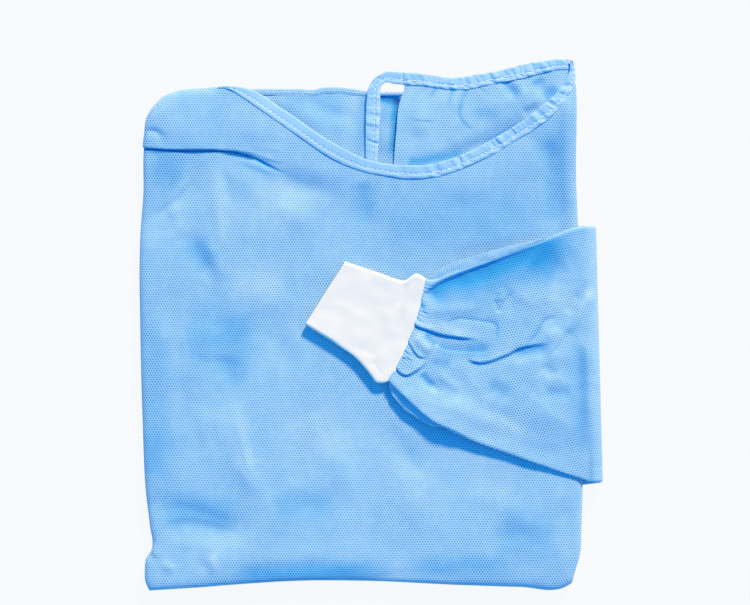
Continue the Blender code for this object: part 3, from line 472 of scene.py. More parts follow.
def without_repeat(faces, columns, count):
    """Join the last column of a ring grid to its first: returns the faces and the kept points."""
    number = np.arange(count)
    repeats = number % columns == columns - 1
    fresh = np.cumsum(~repeats) - 1
    fresh = np.where(repeats, fresh[np.where(repeats, number - columns + 1, 0)], fresh)
    return fresh[faces], np.flatnonzero(~repeats)


def shell(name, middle, plan, material, thickness=CLOTH, ring=False, tone=None):
    """Make a closed shell about a grid of points, which are the middle of its thickness.

    A ring's last column repeats its first, and its points are the outer face instead.
    """
    rows, columns = middle.shape[:2]
    normals, outward = grid_normals(middle), thickness / 2
    if ring:
        wrapped = np.concatenate((middle[:, -2:-1], middle, middle[:, 1:2]), axis=1)
        normals, outward = grid_normals(wrapped)[:, 1:-1], 0.0
    points = np.concatenate(((middle + normals * outward).reshape(-1, 3),
                             (middle + normals * (outward - thickness)).reshape(-1, 3)))
    count = rows * columns
    index = np.arange(count).reshape(rows, columns)
    places = np.concatenate((plan.reshape(-1, 2),) * 2)
    rims = [index[0], index[-1, ::-1]]
    if not ring:
        rims = [np.concatenate((index[0], index[1:, -1], index[-1, -2::-1], index[-2::-1, 0]))]
    faces = patch_corners(index)
    faces = [faces, faces[:, ::-1] + count]
    for rim in rims:
        faces.append(np.stack((rim[1:], rim[:-1], rim[:-1] + count, rim[1:] + count), axis=-1))
    faces = np.concatenate(faces)
    corner_places = places[faces]
    painted_shade_and_highlight = None if tone is None else np.concatenate((tone.reshape(-1),) * 2)
    if ring:
        faces, kept = without_repeat(faces, columns, 2 * count)
        points = points[kept]
        painted_shade_and_highlight = None if tone is None else painted_shade_and_highlight[kept]
    return make_piece(name, points, faces.tolist(), corner_places, material, painted_shade_and_highlight)


def closed_rings(name, rings, plan, material, tone=None):
    """Make a closed body from rings of points, with a fan to a pole at each end."""
    rows, columns = rings.shape[:2]
    index = np.arange(rows * columns).reshape(rows, columns)
    faces = patch_corners(index)
    corner_places = plan.reshape(-1, 2)[faces].reshape(-1, 2)
    faces, kept = without_repeat(faces, columns, rows * columns)
    points = rings.reshape(-1, 3)[kept]
    around = columns - 1
    first = np.arange(around)
    last = first + len(points) - around
    low_pole, high_pole = len(points), len(points) + 1
    caps = [(b, a, low_pole) for a, b in zip(first, np.roll(first, -1))]
    caps = np.array(caps + [(a, b, high_pole) for a, b in zip(last, np.roll(last, -1))])
    points = np.concatenate((points, [rings[0, :-1].mean(axis=0), rings[-1, :-1].mean(axis=0)]))
    painted_shade_and_highlight = None if tone is None else np.append(tone.reshape(-1)[kept], (0.0, 0.0))
    places = np.concatenate((corner_places, points[caps, :2].reshape(-1, 2)))
    return make_piece(name, points, faces.tolist() + caps.tolist(), places, material, painted_shade_and_highlight)


# %% [markdown]
# ## Creases and crumples
#
# Pressed and folded cloth has two kinds of relief. The creases were made by the folding, and each
# has its own place, so each is a short line drawn over the picture, with a height and a width. A
# "soft" one swells or sinks evenly to both sides. A "lap" stands up along one side of its line and
# drops off sharply at the other, as where cloth doubles over itself. A "bank" is steep on its
# right side only, and a "sharp" one is a narrow crest or groove. Between them the cloth is
# slightly crumpled everywhere, which seeded waves of many lengths can do.

# %% Relief
BANK_STEEP = 0.22
LAP_STEEP = 0.6
CREASE_REACH = 4.0


def crease(kind, height, width, *points, fade=(0.3, 0.3)):
    """Note one crease down, with the shares of its length over which it fades in and out."""
    return kind, height, width, fade, points


soft, lap, bank, sharp = (partial(crease, kind) for kind in ("soft", "lap", "bank", "sharp"))


def nearest_on(path, x, y):
    """Return the distance to a path, the share of its length there, and the side: 1 is left."""
    best = np.full(x.shape, np.inf)
    share = np.zeros(x.shape)
    side = np.ones(x.shape)
    start = travelled(path)
    for (x0, y0), (dx, dy), length, begin in zip(path, np.diff(path, axis=0), np.diff(start),
                                                 start):
        t = np.clip(((x - x0) * dx + (y - y0) * dy) / length ** 2, 0.0, 1.0)
        away_x, away_y = x - x0 - t * dx, y - y0 - t * dy
        gap = away_x ** 2 + away_y ** 2
        closer = gap < best
        best = np.where(closer, gap, best)
        share = np.where(closer, (begin + t * length) / start[-1], share)
        side = np.where(closer, np.sign(dx * away_y - dy * away_x), side)
    return np.sqrt(best), share, side


def creases(plan, table):
    """Return the height that a table of creases adds."""
    x, y = plan[..., 0], plan[..., 1]
    total = np.zeros(x.shape)
    for kind, height, width, (fade_in, fade_out), points in table:
        path = smooth_curve(picture(points), 6) if len(points) > 2 else picture(points)
        reach = CREASE_REACH * width
        near = (x > path[:, 0].min() - reach) & (x < path[:, 0].max() + reach)
        near &= (y > path[:, 1].min() - reach) & (y < path[:, 1].max() + reach)
        if not near.any():
            continue
        gap, share, side = nearest_on(path, x[near], y[near])
        fade = smoothstep(share / fade_in) * smoothstep((1.0 - share) / fade_out)
        if kind == "soft":
            shape = np.exp(-(gap / width) ** 2)
        elif kind == "lap":
            shape = np.tanh(side * gap / LAP_STEEP) * np.exp(-gap / width)
        elif kind == "bank":
            shape = np.exp(-(gap / np.where(side > 0, width, BANK_STEEP * width)) ** 2)
        else:
            shape = np.exp(-gap / width)
        total[near] += height * fade * shape
    return total


def crumple(plan, seed, height, longest, shortest, waves=26):
    """Return gentle seeded waves of many lengths and directions."""
    draw = np.random.default_rng(seed)
    total, weight = 0.0, 0.0
    for _ in range(waves):
        length = shortest * (longest / shortest) ** draw.random()
        angle, phase = draw.random() * np.pi, draw.random() * 2.0 * np.pi
        swell = length / longest
        forward = plan[..., 0] * np.cos(angle) + plan[..., 1] * np.sin(angle)
        total = total + swell * np.sin(2.0 * np.pi * forward / length + phase)
        weight += swell ** 2 / 2.0
    return height * total / weight ** 0.5


def folded_waves(plan, seed, height, longest, shortest):
    """Return crumples with sharper crests, as pressed folds leave."""
    rough = crumple(plan, seed, 1.0, longest, shortest, waves=22)
    return height * (0.6 - np.abs(rough))


# %% [markdown]
# ## The front panel
#
# The front is one large panel of nonwoven. It is folded under along both sides, the hem and the
# left shoulder, and a pleat crosses it below that shoulder where the cloth laps over itself. A
# draped simulation would fall where it likes, so the panel is shaped: its flat plan is filled
# from the CAD outline, the pleat is a short S-shaped section swept along its line, and the rolled
# edges turn down round the pack.

# %% Tables of the body, as in the CAD part
BODY_HEIGHT = 17.0
NECK_RISE = 2.2
NECK_RISE_FADE = (-60.0, -10.0)
HEAD_DROOP = 4.5
HEAD_DROOP_FADE = (-44.0, 8.0)
HIDDEN_DROP = 3.8
RIGHT_BACK_DROP = 2.7
LEFT_BACK_DROP = 5.3
NECK_RECESS = 5.6
NECK_RECESS_FADE = (-42.0, -18.0)
NECK_RECESS_LEFT = (-150.0, -125.0)
HALF_SHELL = 0.5

LEFT_EDGE = (
    (-193.5, -232.0), (-197.0, -224.0), (-197.5, -214.0), (-196.5, -204.0), (-192.0, -197.0),
    (-193.5, -172.5), (-196.0, -152.0), (-199.5, -82.5), (-201.5, -4.5), (-202.0, 60.0),
    (-201.0, 87.0), (-199.0, 112.0), (-198.8, 154.5), (-197.8, 166.0), (-196.0, 180.0),
    (-191.5, 188.5), (-186.5, 194.5),
)
BOTTOM_EDGE = (
    (-193.5, -232.0), (-146.0, -229.0), (-108.0, -226.0), (-62.5, -223.5), (-9.5, -223.5),
    (82.0, -227.5), (129.0, -229.0), (168.0, -229.5), (175.0, -225.5),
)
RIGHT_EDGE = (
    (175.0, -225.5), (179.0, -211.5), (182.0, -201.0), (183.5, -175.5), (183.5, -65.0),
    (182.0, 22.0), (180.5, 85.5), (179.0, 120.0), (179.0, 189.0), (178.8, 200.0),
    (178.4, 209.5),
)
SHOULDER_TOP = (
    (-186.5, 194.5), (-182.0, 199.0), (-175.0, 202.5), (-166.0, 205.0), (-153.0, 206.5),
    (-140.0, 207.0), (-130.0, 206.6),
)
NECK_END = ((178.4, 209.5),)
HEAD_LINE = (
    (-200.0, 207.0), (-10.0, 206.0), (20.0, 213.0), (83.0, 216.5), (118.0, 223.0),
    (170.0, 231.0),
)
# A binding's rows: x and y of its open edge, which lies on the panel, and of its folded edge
FRONT_BINDING = (
    (-124.0, 204.8, -121.0, 207.8), (-114.0, 199.0, -107.0, 205.5),
    (-101.5, 190.5, -94.0, 199.5), (-86.5, 180.0, -79.5, 189.5),
    (-71.5, 169.5, -64.5, 179.5), (-56.5, 159.0, -50.0, 169.0),
    (-42.0, 149.0, -36.5, 160.0), (-26.5, 140.5, -21.5, 152.0),
    (-6.5, 133.0, -3.0, 143.5), (8.5, 130.0, 10.5, 140.5), (32.0, 127.0, 32.0, 138.5),
    (56.5, 128.5, 54.0, 140.0), (71.0, 132.5, 67.0, 143.5), (92.5, 141.5, 86.5, 151.0),
    (109.0, 149.5, 102.5, 159.5), (127.5, 161.0, 120.0, 170.0),
    (141.5, 169.5, 133.5, 178.5), (152.0, 177.0, 144.0, 187.0),
    (162.0, 186.5, 153.5, 194.5), (170.0, 196.0, 161.0, 201.0),
    (174.6, 204.0, 166.0, 208.0),
)
NECK_CORNER = (
    (177.4, 211.5, 169.8, 214.0), (177.6, 219.0, 172.5, 220.3), (177.0, 225.5, 173.1, 225.5),
    (176.2, 229.4, 172.7, 230.3),
)
TUCK_LINE = (
    (-198.8, 154.5), (-185.5, 153.3), (-166.0, 152.0), (-144.5, 152.3), (-134.0, 152.0),
    (-112.0, 147.5), (-98.5, 143.0), (-73.0, 131.0), (-44.5, 118.0), (-9.5, 106.0),
    (31.5, 101.0), (77.5, 104.0), (129.5, 121.0), (179.0, 146.0),
)
# Section of the tuck: distance above its line laid open, folded, and the rise
TUCK_SECTION = (
    (-12.0, -12.0, -0.3), (-5.0, -4.0, -0.5), (-3.6, 0.4, -0.62), (-2.4, 2.6, -0.6),
    (-1.3, 3.0, -0.25), (0.0, 2.0, -0.03), (1.2, 0.2, 0.06), (2.1, -0.9, 0.2),
    (3.2, -0.5, 0.5), (5.0, 1.8, 0.55), (12.0, 12.0, 0.25),
)
PLEAT_FADE = (-152.0, -98.0)
STEP_FADE = (-118.0, -68.0)
STEP_SPREAD = 60.0
# Largest folds of the front panel: start x, y, end x, y, half width, height
BODY_FOLDS = (
    (-151.0, 128.0, -196.0, 92.0, 17.0, -2.2), (-157.5, 69.5, -144.5, 48.0, 10.0, -1.2),
    (-144.5, 48.0, -136.0, 16.0, 10.0, -1.2), (-137.5, -82.5, -109.5, -126.0, 11.0, 1.4),
    (-109.5, -126.0, -92.0, -156.5, 11.0, 1.2), (-186.0, -156.5, -115.5, -178.5, 10.0, -1.5),
    (-70.0, 122.0, -18.0, 100.0, 15.0, -1.2), (155.0, 150.0, 165.0, 80.0, 9.0, -1.6),
    (-137.5, -204.5, -125.0, -206.0, 14.0, 1.0),
)
NECKLINE = smooth_curve([row[:2] for row in FRONT_BINDING])
TUCK_CURVE = smooth_curve(TUCK_LINE)


def body_folds(plan):
    """Return the soft troughs and ridges of the front, each along its own straight line."""
    lowest = highest = np.zeros(plan.shape[:-1])
    for *ends, half_width, height in BODY_FOLDS:
        gap = nearest_on(np.array(ends).reshape(2, 2), plan[..., 0], plan[..., 1])[0]
        fold = height * np.exp(-(gap / half_width) ** 2)
        lowest, highest = np.minimum(lowest, fold), np.maximum(highest, fold)
    return lowest + highest


def above(plan, line):
    """Return how far each place is above a line, minus below it."""
    return plan[..., 1] - np.interp(plan[..., 0], line[:, 0], line[:, 1])


def base_height(plan):
    """Return the height of the front panel's outer face without its folds."""
    rise = NECK_RISE * smoothstep(above(plan, NECKLINE), *NECK_RISE_FADE)
    droop = HEAD_DROOP * smoothstep(above(plan, np.array(HEAD_LINE)), *HEAD_DROOP_FADE)
    return BODY_HEIGHT + rise - droop


def hidden_height(plan):
    """Return the height of the hidden layers, lower where the back panels lie on them."""
    recess = NECK_RECESS * smoothstep(above(plan, NECKLINE), *NECK_RECESS_FADE) \
        * smoothstep(plan[..., 0], *NECK_RECESS_LEFT)
    return base_height(plan) + np.minimum(body_folds(plan), 0.0) - HIDDEN_DROP - recess


print("front panel height at the middle:", base_height(np.zeros(2)), "mm")

# %% Creases of the front panel, drawn over the picture
# Height, width and points of each
BODY_CREASES = (
    soft(-1.7, 2.6, (144, 134.5), (153, 131), (160, 135), (168, 143), fade=(0.3, 0.4)),
    soft(0.35, 3.5, (144, 141), (152, 138), (158, 143), fade=(0.3, 0.4)),
    sharp(-0.5, 1.0, (216, 87), (226, 88.5), (236, 92.5), fade=(0.2, 0.3)),
    bank(-1.8, 12.0, (200, 176), (186, 192), (170, 206), (148, 220)),
    soft(1.0, 5.5, (206, 176), (192, 194), (175, 210), (152, 224)),
    soft(-0.7, 8.0, (188, 232), (197, 250), (208, 272), (214, 292), fade=(0.3, 0.4)),
    sharp(-0.2, 4.0, (192, 238), (197, 252), (207, 272), (213, 290), (215, 310)),
    soft(1.2, 5.0, (204, 236), (214, 258), (224, 284), fade=(0.4, 0.4)),
    soft(0.7, 5.0, (170, 200), (177, 218), (186, 240), fade=(0.3, 0.4)),
    soft(1.0, 6.0, (211, 160), (214, 190), (219, 222), (228, 256), fade=(0.2, 0.4)),
    soft(-1.0, 4.0, (226, 172), (228, 192), (230, 210), fade=(0.3, 0.4)),
    soft(-1.4, 9.0, (188, 316), (210, 322), (232, 330), fade=(0.4, 0.4)),
    bank(-0.9, 13.0, (250, 368), (226, 362), (200, 360), (180, 352), fade=(0.3, 0.4)),
    soft(-0.8, 6.0, (222, 350), (228, 370), (241, 394), fade=(0.3, 0.4)),
    soft(-1.6, 9.0, (268, 172), (296, 184), (326, 190), (352, 190), fade=(0.3, 0.4)),
    soft(1.3, 10.0, (238, 166), (250, 188), (268, 206), fade=(0.4, 0.4)),
    soft(1.2, 12.0, (262, 205), (290, 214), (320, 232), fade=(0.4, 0.4)),
    sharp(-1.8, 1.5, (222, 151.5), (240, 155), (255, 159), (268, 166), (280, 172), (289, 173),
          fade=(0.2, 0.4)),
    lap(0.35, 3.0, (247, 147), (262, 150), (284, 152)),
    lap(0.3, 3.0, (258, 160), (272, 161), (290, 166)),
    sharp(-1.6, 2.2, (238, 436), (243, 464), (255, 488), fade=(0.3, 0.4)),
    soft(1.5, 5.0, (234, 396), (238, 430), (246, 470), (252, 500)),
    soft(1.0, 6.0, (200, 404), (206, 440), (214, 470)),
    sharp(-1.0, 5.0, (157, 510), (185, 508), (212, 516), (240, 530)),
    bank(-1.8, 14.0, (244, 536), (215, 528), (185, 524), (152, 530)),
    soft(0.6, 6.0, (160, 538), (190, 544), (224, 548)),
    lap(1.8, 4.0, (149, 551), (154, 556), (159, 562), fade=(0.1, 0.5)),
    soft(1.5, 2.6, (161, 562.5), (168, 567), (176, 572)),
    soft(1.6, 3.2, (212, 553), (213, 563), (212, 575), fade=(0.4, 0.4)),
    soft(-1.0, 3.0, (200, 558), (204, 568), (206, 576), fade=(0.4, 0.4)),
    soft(-1.2, 7.0, (225, 573), (270, 571), (300, 568), (345, 569)),
    sharp(-1.4, 3.0, (360, 580), (392, 575.5), (430, 575), (470, 578)),
    soft(1.6, 5.0, (566.5, 90), (567, 150), (568, 228), fade=(0.2, 0.3)),
    soft(-1.1, 9.0, (553, 112), (552, 160), (551, 215), (554, 236), fade=(0.2, 0.4)),
    soft(-1.2, 6.0, (566, 500), (568, 530), (566, 566), fade=(0.3, 0.4)),
    soft(1.1, 12.0, (300, 430), (340, 470), (372, 520), fade=(0.4, 0.4)),
    soft(-1.1, 9.0, (380, 420), (404, 450), (420, 490), fade=(0.4, 0.4)),
    soft(1.1, 12.0, (396, 452), (412, 492), (400, 530), fade=(0.4, 0.4)),
    soft(1.0, 10.0, (470, 490), (512, 512), (548, 530), fade=(0.4, 0.4)),
    soft(-1.1, 9.0, (470, 545), (510, 536), (556, 540), fade=(0.4, 0.4)),
    soft(-1.1, 10.0, (250, 512), (300, 506), (350, 512), fade=(0.4, 0.4)),
    soft(1.0, 9.0, (156, 300), (164, 360), (160, 420), fade=(0.4, 0.4)),
    soft(-1.0, 9.0, (176, 352), (184, 400), (180, 448), fade=(0.4, 0.4)),
    soft(1.1, 12.0, (236, 284), (270, 300), (306, 304), fade=(0.4, 0.4)),
    soft(-1.0, 9.0, (262, 330), (284, 350), (296, 380), fade=(0.4, 0.4)),
    soft(-1.3, 8.0, (361, 180), (364, 206), (370, 240), fade=(0.2, 0.4)),
    soft(-0.9, 10.0, (420, 200), (470, 206), (520, 196), fade=(0.4, 0.4)),
    bank(-0.6, 16.0, (556, 232), (520, 240), (480, 250), (440, 256)),
    soft(-0.9, 7.0, (526, 132), (540, 146), (550, 164)),
)
# Painted shade and painted light: strokes like the creases which deepen the cloth's blue where it
# lies in shade and make it paler where it catches the light, and one number makes all of them
# stronger or weaker.
PAINTED_LIGHT_AND_SHADE_SHARE = 1.6
BODY_PAINTED_SHADE_AND_LIGHT = (
    soft(1.55, 1.2, (141, 149), (157, 150.8), (177, 150.8), (202.6, 150.5), (217.8, 151.2),
         (229.6, 153.9), (245, 157), (256, 161), fade=(0.01, 0.1)),
    soft(0.28, 20.0, (146, 168), (170, 171), (186, 177)),
    soft(0.3, 13.0, (189, 236), (198, 252), (210, 274)),
    soft(0.26, 30.0, (176, 332), (215, 338), (268, 345)),
    soft(0.1, 16.0, (230, 312), (236, 328), (246, 340)),
    soft(0.14, 12.0, (222, 352), (228, 370), (240, 392)),
    soft(0.3, 18.0, (156, 524), (190, 512), (215, 518), (240, 530), fade=(0.25, 0.25)),
    soft(0.15, 18.0, (150, 420), (155, 450), (152, 486)),
    soft(0.5, 9.0, (222, 576), (280, 574), (340, 572), (400, 570), fade=(0.2, 0.3)),
    soft(0.28, 9.0, (395, 568), (450, 566), (520, 566)),
    soft(0.2, 18.0, (262, 508), (300, 506), (345, 508)),
    soft(0.2, 24.0, (490, 528), (530, 534), (565, 534)),
    soft(0.24, 10.0, (361, 178), (364, 205), (368, 235), fade=(0.2, 0.4)),
    soft(0.1, 30.0, (372, 225), (440, 220), (500, 215)),
    soft(0.16, 24.0, (465, 240), (505, 222), (548, 215)),
    soft(0.26, 9.0, (553, 122), (553, 165), (552, 200), (553, 232), fade=(0.2, 0.2)),
    soft(0.12, 14.0, (528, 138), (542, 150), (552, 165)),
    soft(0.15, 8.0, (408, 440), (412, 458), (418, 476)),
    soft(0.15, 9.0, (322, 464), (338, 465), (354, 466), fade=(0.4, 0.4)),
    soft(-0.14, 8.0, (171, 200), (177, 218), (186, 240)),
    soft(-0.2, 9.0, (212, 165), (216, 195), (219, 225), (226, 258), fade=(0.2, 0.3)),
    soft(-0.22, 28.0, (250, 180), (275, 205), (300, 230)),
    soft(-0.28, 18.0, (225, 272), (255, 284), (290, 292)),
    soft(-0.18, 9.0, (236, 400), (242, 440), (248, 486)),
    soft(-0.2, 32.0, (290, 400), (320, 440), (350, 480)),
    soft(-0.16, 24.0, (385, 455), (410, 490), (400, 525)),
    soft(-0.16, 10.0, (180, 556), (200, 560), (216, 563)),
    soft(-0.35, 5.0, (209, 554), (213, 564), (216, 573)),
    soft(-0.22, 2.5, (161, 562), (168, 566), (176, 571)),
    soft(0.1, 6.0, (568, 100), (568, 150), (569, 215), (571, 230), fade=(0.2, 0.3)),
    soft(0.05, 34.0, (372, 215), (450, 215), (536, 196), fade=(0.2, 0.2)),
    soft(0.1, 34.0, (165, 112), (200, 112), (240, 118)),
    soft(0.16, 15.0, (152, 290), (156, 370), (153, 450), (152, 520)),
    soft(0.95, 1.6, (222, 151.5), (240, 155), (255, 159), (268, 166), (280, 172), (289, 173),
         fade=(0.2, 0.4)),
    soft(0.35, 2.2, (234, 160), (248, 166), (262, 171), (280, 178)),
    soft(-0.2, 16.0, (455, 468), (490, 480), (520, 492)),
)
FRONT_WIDTH = 378.0
COLUMN_POINTS = 240
FLAT_COLUMNS = 170
EXTRA_COLUMN = 0.955
BODY_ROWS = 124
SHOULDER_ROWS = 20
TUCK_STEPS = 3
TOP_EDGE_CLIMB = 0.3
EDGE_IN_BINDING = 4.2
EDGE_ROLL_FROM = 10.0
# Rolled edge: distance inside the outline, and drop
EDGE_ROLL = ((EDGE_ROLL_FROM, 0.0), (6.0, 0.3), (4.0, 0.75), (2.4, 1.5), (1.3, 2.6), (0.6, 3.8),
             (0.4, 5.3), (0.4, 6.8), (0.6, 8.4), (0.8, 10.0))
# How far in the right side's roll begins, at three heights of the plan
NARROWER_ROLL = ((140.0, 10.0), (185.0, 7.5), (208.0, 3.2))
HEAD_ROLL_FROM = 12.0
# Upper edge: distance inside and drop where it is rolled, and distance inside where it is cut
HEAD_ROLL = ((HEAD_ROLL_FROM, 0.0, HEAD_ROLL_FROM), (7.0, 0.2, 9.6), (5.0, 0.55, 8.4),
             (3.0, 1.1, 7.2), (1.8, 2.0, 6.0), (0.9, 3.2, 4.8), (0.6, 4.4, 3.6), (0.5, 5.6, 2.4),
             (0.7, 6.8, 1.2), (0.9, 8.0, 0.0))
ROLL_STEPS = len(EDGE_ROLL) - 1
SHOULDER_FADE = (-165.0, -130.0)
print(len(BODY_CREASES), "creases on the front panel")

# %% [markdown]
# The panel is filled in three steps. Dense columns are drawn between the four borders. Each column
# is then divided into the rows of the cloth, close together where the tuck is folded. At last
# every row and column goes on outward in a few short steps, which follow the roll of the edge.
# On the cutting plan those steps are laid out flat, so that no dot is stretched on the roll.

# %% Shape of the front panel


def neckline_edge():
    """Return the cut edge of the front panel, which lies inside its binding."""
    table = np.array(FRONT_BINDING)
    run = table[:, 2:] - table[:, :2]
    width = np.linalg.norm(run, axis=1, keepdims=True)
    return (table[:, :2] + run / width * np.maximum(width - EDGE_IN_BINDING, 0.1)).tolist()


TOP_EDGE = list(SHOULDER_TOP) + neckline_edge() + list(NECK_END)


def front_columns(across):
    """Return a dense plan curve of the front panel for each share of its width."""
    up = np.linspace(0.0, 1.0, COLUMN_POINTS)
    return fill_border(along(BOTTOM_EDGE, across), along(TOP_EDGE, across, TOP_EDGE_CLIMB),
                       along(LEFT_EDGE, up), along(RIGHT_EDGE, up), across, up)


def front_rows(column):
    """Return one column's plan points with the tuck laid open and folded, and its rises."""
    length = travelled(column)
    tuck_at = np.interp(0.0, above(column, TUCK_CURVE), length)
    tuck_x = np.interp(tuck_at, length, column[:, 0])
    pleat, rise = (1.0 - smoothstep(tuck_x, *fade) for fade in (PLEAT_FADE, STEP_FADE))
    section = smooth_curve([(row[1], row[2], row[0]) for row in TUCK_SECTION], TUCK_STEPS)
    reach = TUCK_SECTION[-1][0]
    last = length[-1] - HEAD_ROLL_FROM
    low = np.linspace(EDGE_ROLL_FROM, tuck_at - reach, BODY_ROWS, endpoint=False)
    high = np.linspace(tuck_at + reach, last, SHOULDER_ROWS + 2)[1:]
    places = np.concatenate((low, tuck_at + section[:, 2], high))
    shifts = np.concatenate((low * 0.0, (section[:, 0] - section[:, 2]) * pleat, high * 0.0))
    rises = np.concatenate((section[0, 1] * smoothstep(1.0 - (tuck_at - low) / STEP_SPREAD),
                            section[:, 1],
                            section[-1, 1] * (last - high) / (last - tuck_at - reach)))
    return rows_at(places, length, column), rows_at(places + shifts, length, column), rises * rise


def side_snapped(plan):
    """Move the end columns of a plan grid to just inside the gown's side edges."""
    left, right = smooth_curve(LEFT_EDGE), smooth_curve(RIGHT_EDGE)
    start = np.interp(plan[:, 0, 1], left[:, 1], left[:, 0]) + EDGE_ROLL_FROM
    end = np.interp(plan[:, -1, 1], right[:, 1], right[:, 0]) \
        - np.interp(plan[:, -1, 1], *zip(*NARROWER_ROLL))
    share = (plan[..., 0] - plan[:, :1, 0]) / (plan[:, -1:, 0] - plan[:, :1, 0])
    snapped = plan.copy()
    snapped[..., 0] = start[:, None] + share * (end - start)[:, None]
    return snapped


def distance_to(outline, start, direction):
    """Return how far a loop of plan points is from a place, the given way."""
    edge = np.roll(outline, -1, axis=0) - outline
    away = outline - start
    lean = direction[0] * edge[:, 1] - direction[1] * edge[:, 0]
    lean = np.where(np.abs(lean) < 1e-9, 1e-9, lean)
    far = (away[:, 0] * edge[:, 1] - away[:, 1] * edge[:, 0]) / lean
    share = (away[:, 0] * direction[1] - away[:, 1] * direction[0]) / lean
    return far[(share >= 0.0) & (share <= 1.0) & (far > 0.0)].min()


def front_relief(plan):
    """Return the whole relief of the front panel, creases and crumples."""
    return body_folds(plan) + creases(plan, BODY_CREASES) \
        + crumple(plan, 11, 0.16, 90.0, 24.0) + folded_waves(plan, 12, 0.18, 120.0, 38.0)


def with_rolled_edges(flat, rises):
    """Add the rolled edges round the flat part: returns the grid, and its rises."""
    row_at, column_at = (np.clip(np.arange(count + 2 * ROLL_STEPS) - ROLL_STEPS, 0, count - 1)
                         for count in flat.shape[:2])
    rows, columns = len(row_at), len(column_at)
    grid = flat[row_at][:, column_at]
    along_up, across = (unit(np.gradient(flat, axis=axis))[row_at][:, column_at]
                        for axis in (0, 1))
    out_x = np.arange(columns) - ROLL_STEPS - column_at
    out_y = np.arange(rows) - ROLL_STEPS - row_at
    shoulder = 1.0 - smoothstep(flat[-1, column_at, 0], *SHOULDER_FADE)
    side_inset, side_drop = np.array(EDGE_ROLL).T
    rolled_inset, rolled_drop, cut_inset = np.array(HEAD_ROLL).T
    side_reach = 1.0 - side_inset / EDGE_ROLL_FROM
    rolled_reach, cut_reach = 1.0 - np.array((rolled_inset, cut_inset)) / HEAD_ROLL_FROM
    outline = np.concatenate((smooth_curve(BOTTOM_EDGE), smooth_curve(RIGHT_EDGE)[1:],
                              smooth_curve(TOP_EDGE)[::-1], smooth_curve(LEFT_EDGE)[-2:0:-1]))
    drops = np.zeros((rows, columns))
    for i in range(rows):
        depth = np.interp(flat[row_at[i], 0, 1], *zip(*NARROWER_ROLL)) / EDGE_ROLL_FROM
        for j in np.flatnonzero(np.maximum(np.abs(out_x), abs(out_y[i]))):
            turn = max(abs(out_x[j]), abs(out_y[i]))
            slant = np.hypot(out_x[j], out_y[i])
            share_x, share_y = out_x[j] / slant, out_y[i] / slant
            reach_y, drop_y = side_reach[turn], side_drop[turn]
            if out_y[i] > 0:
                reach_y = rolled_reach[turn] * shoulder[j] + cut_reach[turn] * (1 - shoulder[j])
                drop_y = rolled_drop[turn] * shoulder[j]
            reach = share_x ** 2 * side_reach[turn] + share_y ** 2 * reach_y
            way = unit(across[i, j] * share_x + along_up[i, j] * share_y)
            grid[i, j] = grid[i, j] + way * reach * distance_to(outline, grid[i, j], way)
            drops[i, j] = share_x ** 2 * side_drop[turn] * depth + share_y ** 2 * drop_y
    height = base_height(grid) + front_relief(grid) - drops - HALF_SHELL
    return raised(grid, height), rises[row_at][:, column_at]


def rolled_out(grid):
    """Return a cloth's cutting plan: its plan places, with the rolled edges laid out flat."""
    place = grid[..., :2].copy()
    for lines, points in ((place, grid), (place.swapaxes(0, 1), grid.swapaxes(0, 1))):
        for line, point in ((lines, points), (lines[::-1], points[::-1])):
            for k in range(ROLL_STEPS - 1, -1, -1):
                step = np.linalg.norm(point[k] - point[k + 1], axis=1, keepdims=True)
                line[k] = line[k + 1] + unit(line[k + 1] - line[k + 2]) * step
    return place


# %% Front panel
first_column = EDGE_ROLL_FROM / FRONT_WIDTH
shares = np.sort(np.append(np.linspace(first_column, 1.0 - first_column, FLAT_COLUMNS - 1),
                           EXTRA_COLUMN))
open_plan, folded_plan, rises = (
    np.stack(part, axis=1)
    for part in zip(*map(front_rows, front_columns(shares).swapaxes(0, 1))))
flat_grid, tuck_rises = with_rolled_edges(side_snapped(open_plan), rises)
front_grid = flat_grid + grid_normals(flat_grid) * tuck_rises[..., None]
roll = (ROLL_STEPS, ROLL_STEPS)
front_grid[..., :2] += np.pad(folded_plan - open_plan, (roll, roll, (0, 0)), mode="edge")
# The front's tone attribute paints shade and light into its colour
front = shell("front_cloth", front_grid, rolled_out(front_grid), BLUE_CLOTH,
              tone=PAINTED_LIGHT_AND_SHADE_SHARE * creases(front_grid, BODY_PAINTED_SHADE_AND_LIGHT))
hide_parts("front_panel")
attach(front, "root")

# %% [markdown]
# ## The folded layers underneath
#
# Below the front lie the rest of the skirt, both backs, the left sleeve and the ties, folded into
# one flat pack. Only the edges of those layers show, from the side. Modelling each hidden sheet
# would add nothing that can be seen, so they share one solid, and its sides are worked into the
# rounded folds of the stacked layers, each wandering in and out a little. The solid is a pile of
# rings, and on the cutting plan the rings of its sides are laid out flat beyond the underside.

# %% Pack of folded layers
HEAD_EDGE = (
    (-186.5, 194.5), (-181.0, 197.5), (-166.0, 200.5), (-140.0, 201.5), (-100.0, 200.5),
    (-40.0, 199.0), (8.0, 197.5), (24.0, 197.5), (42.0, 200.0), (83.0, 204.0),
    (118.0, 209.5), (150.0, 214.5), (177.5, 216.0),
)
PACK_RIGHT_TOP = (177.5, 216.0)
PACK_MIDDLE = np.array((-8.0, -8.0))
# Levels of the layers as shares of the pack's height, and how far each stays inside the outline
PACK_LAYERS = ((0.00, 0.115, 2.2), (0.115, 0.215, 1.3), (0.215, 0.32, 2.6), (0.32, 0.415, 1.4),
               (0.415, 0.55, 5.2), (0.55, 0.68, 4.6), (0.68, 0.82, 5.6), (0.82, 0.94, 6.2))
LAYER_TURN = 7
TUCKED_LAYERS = 5
TUCKED_INSET = 19.0
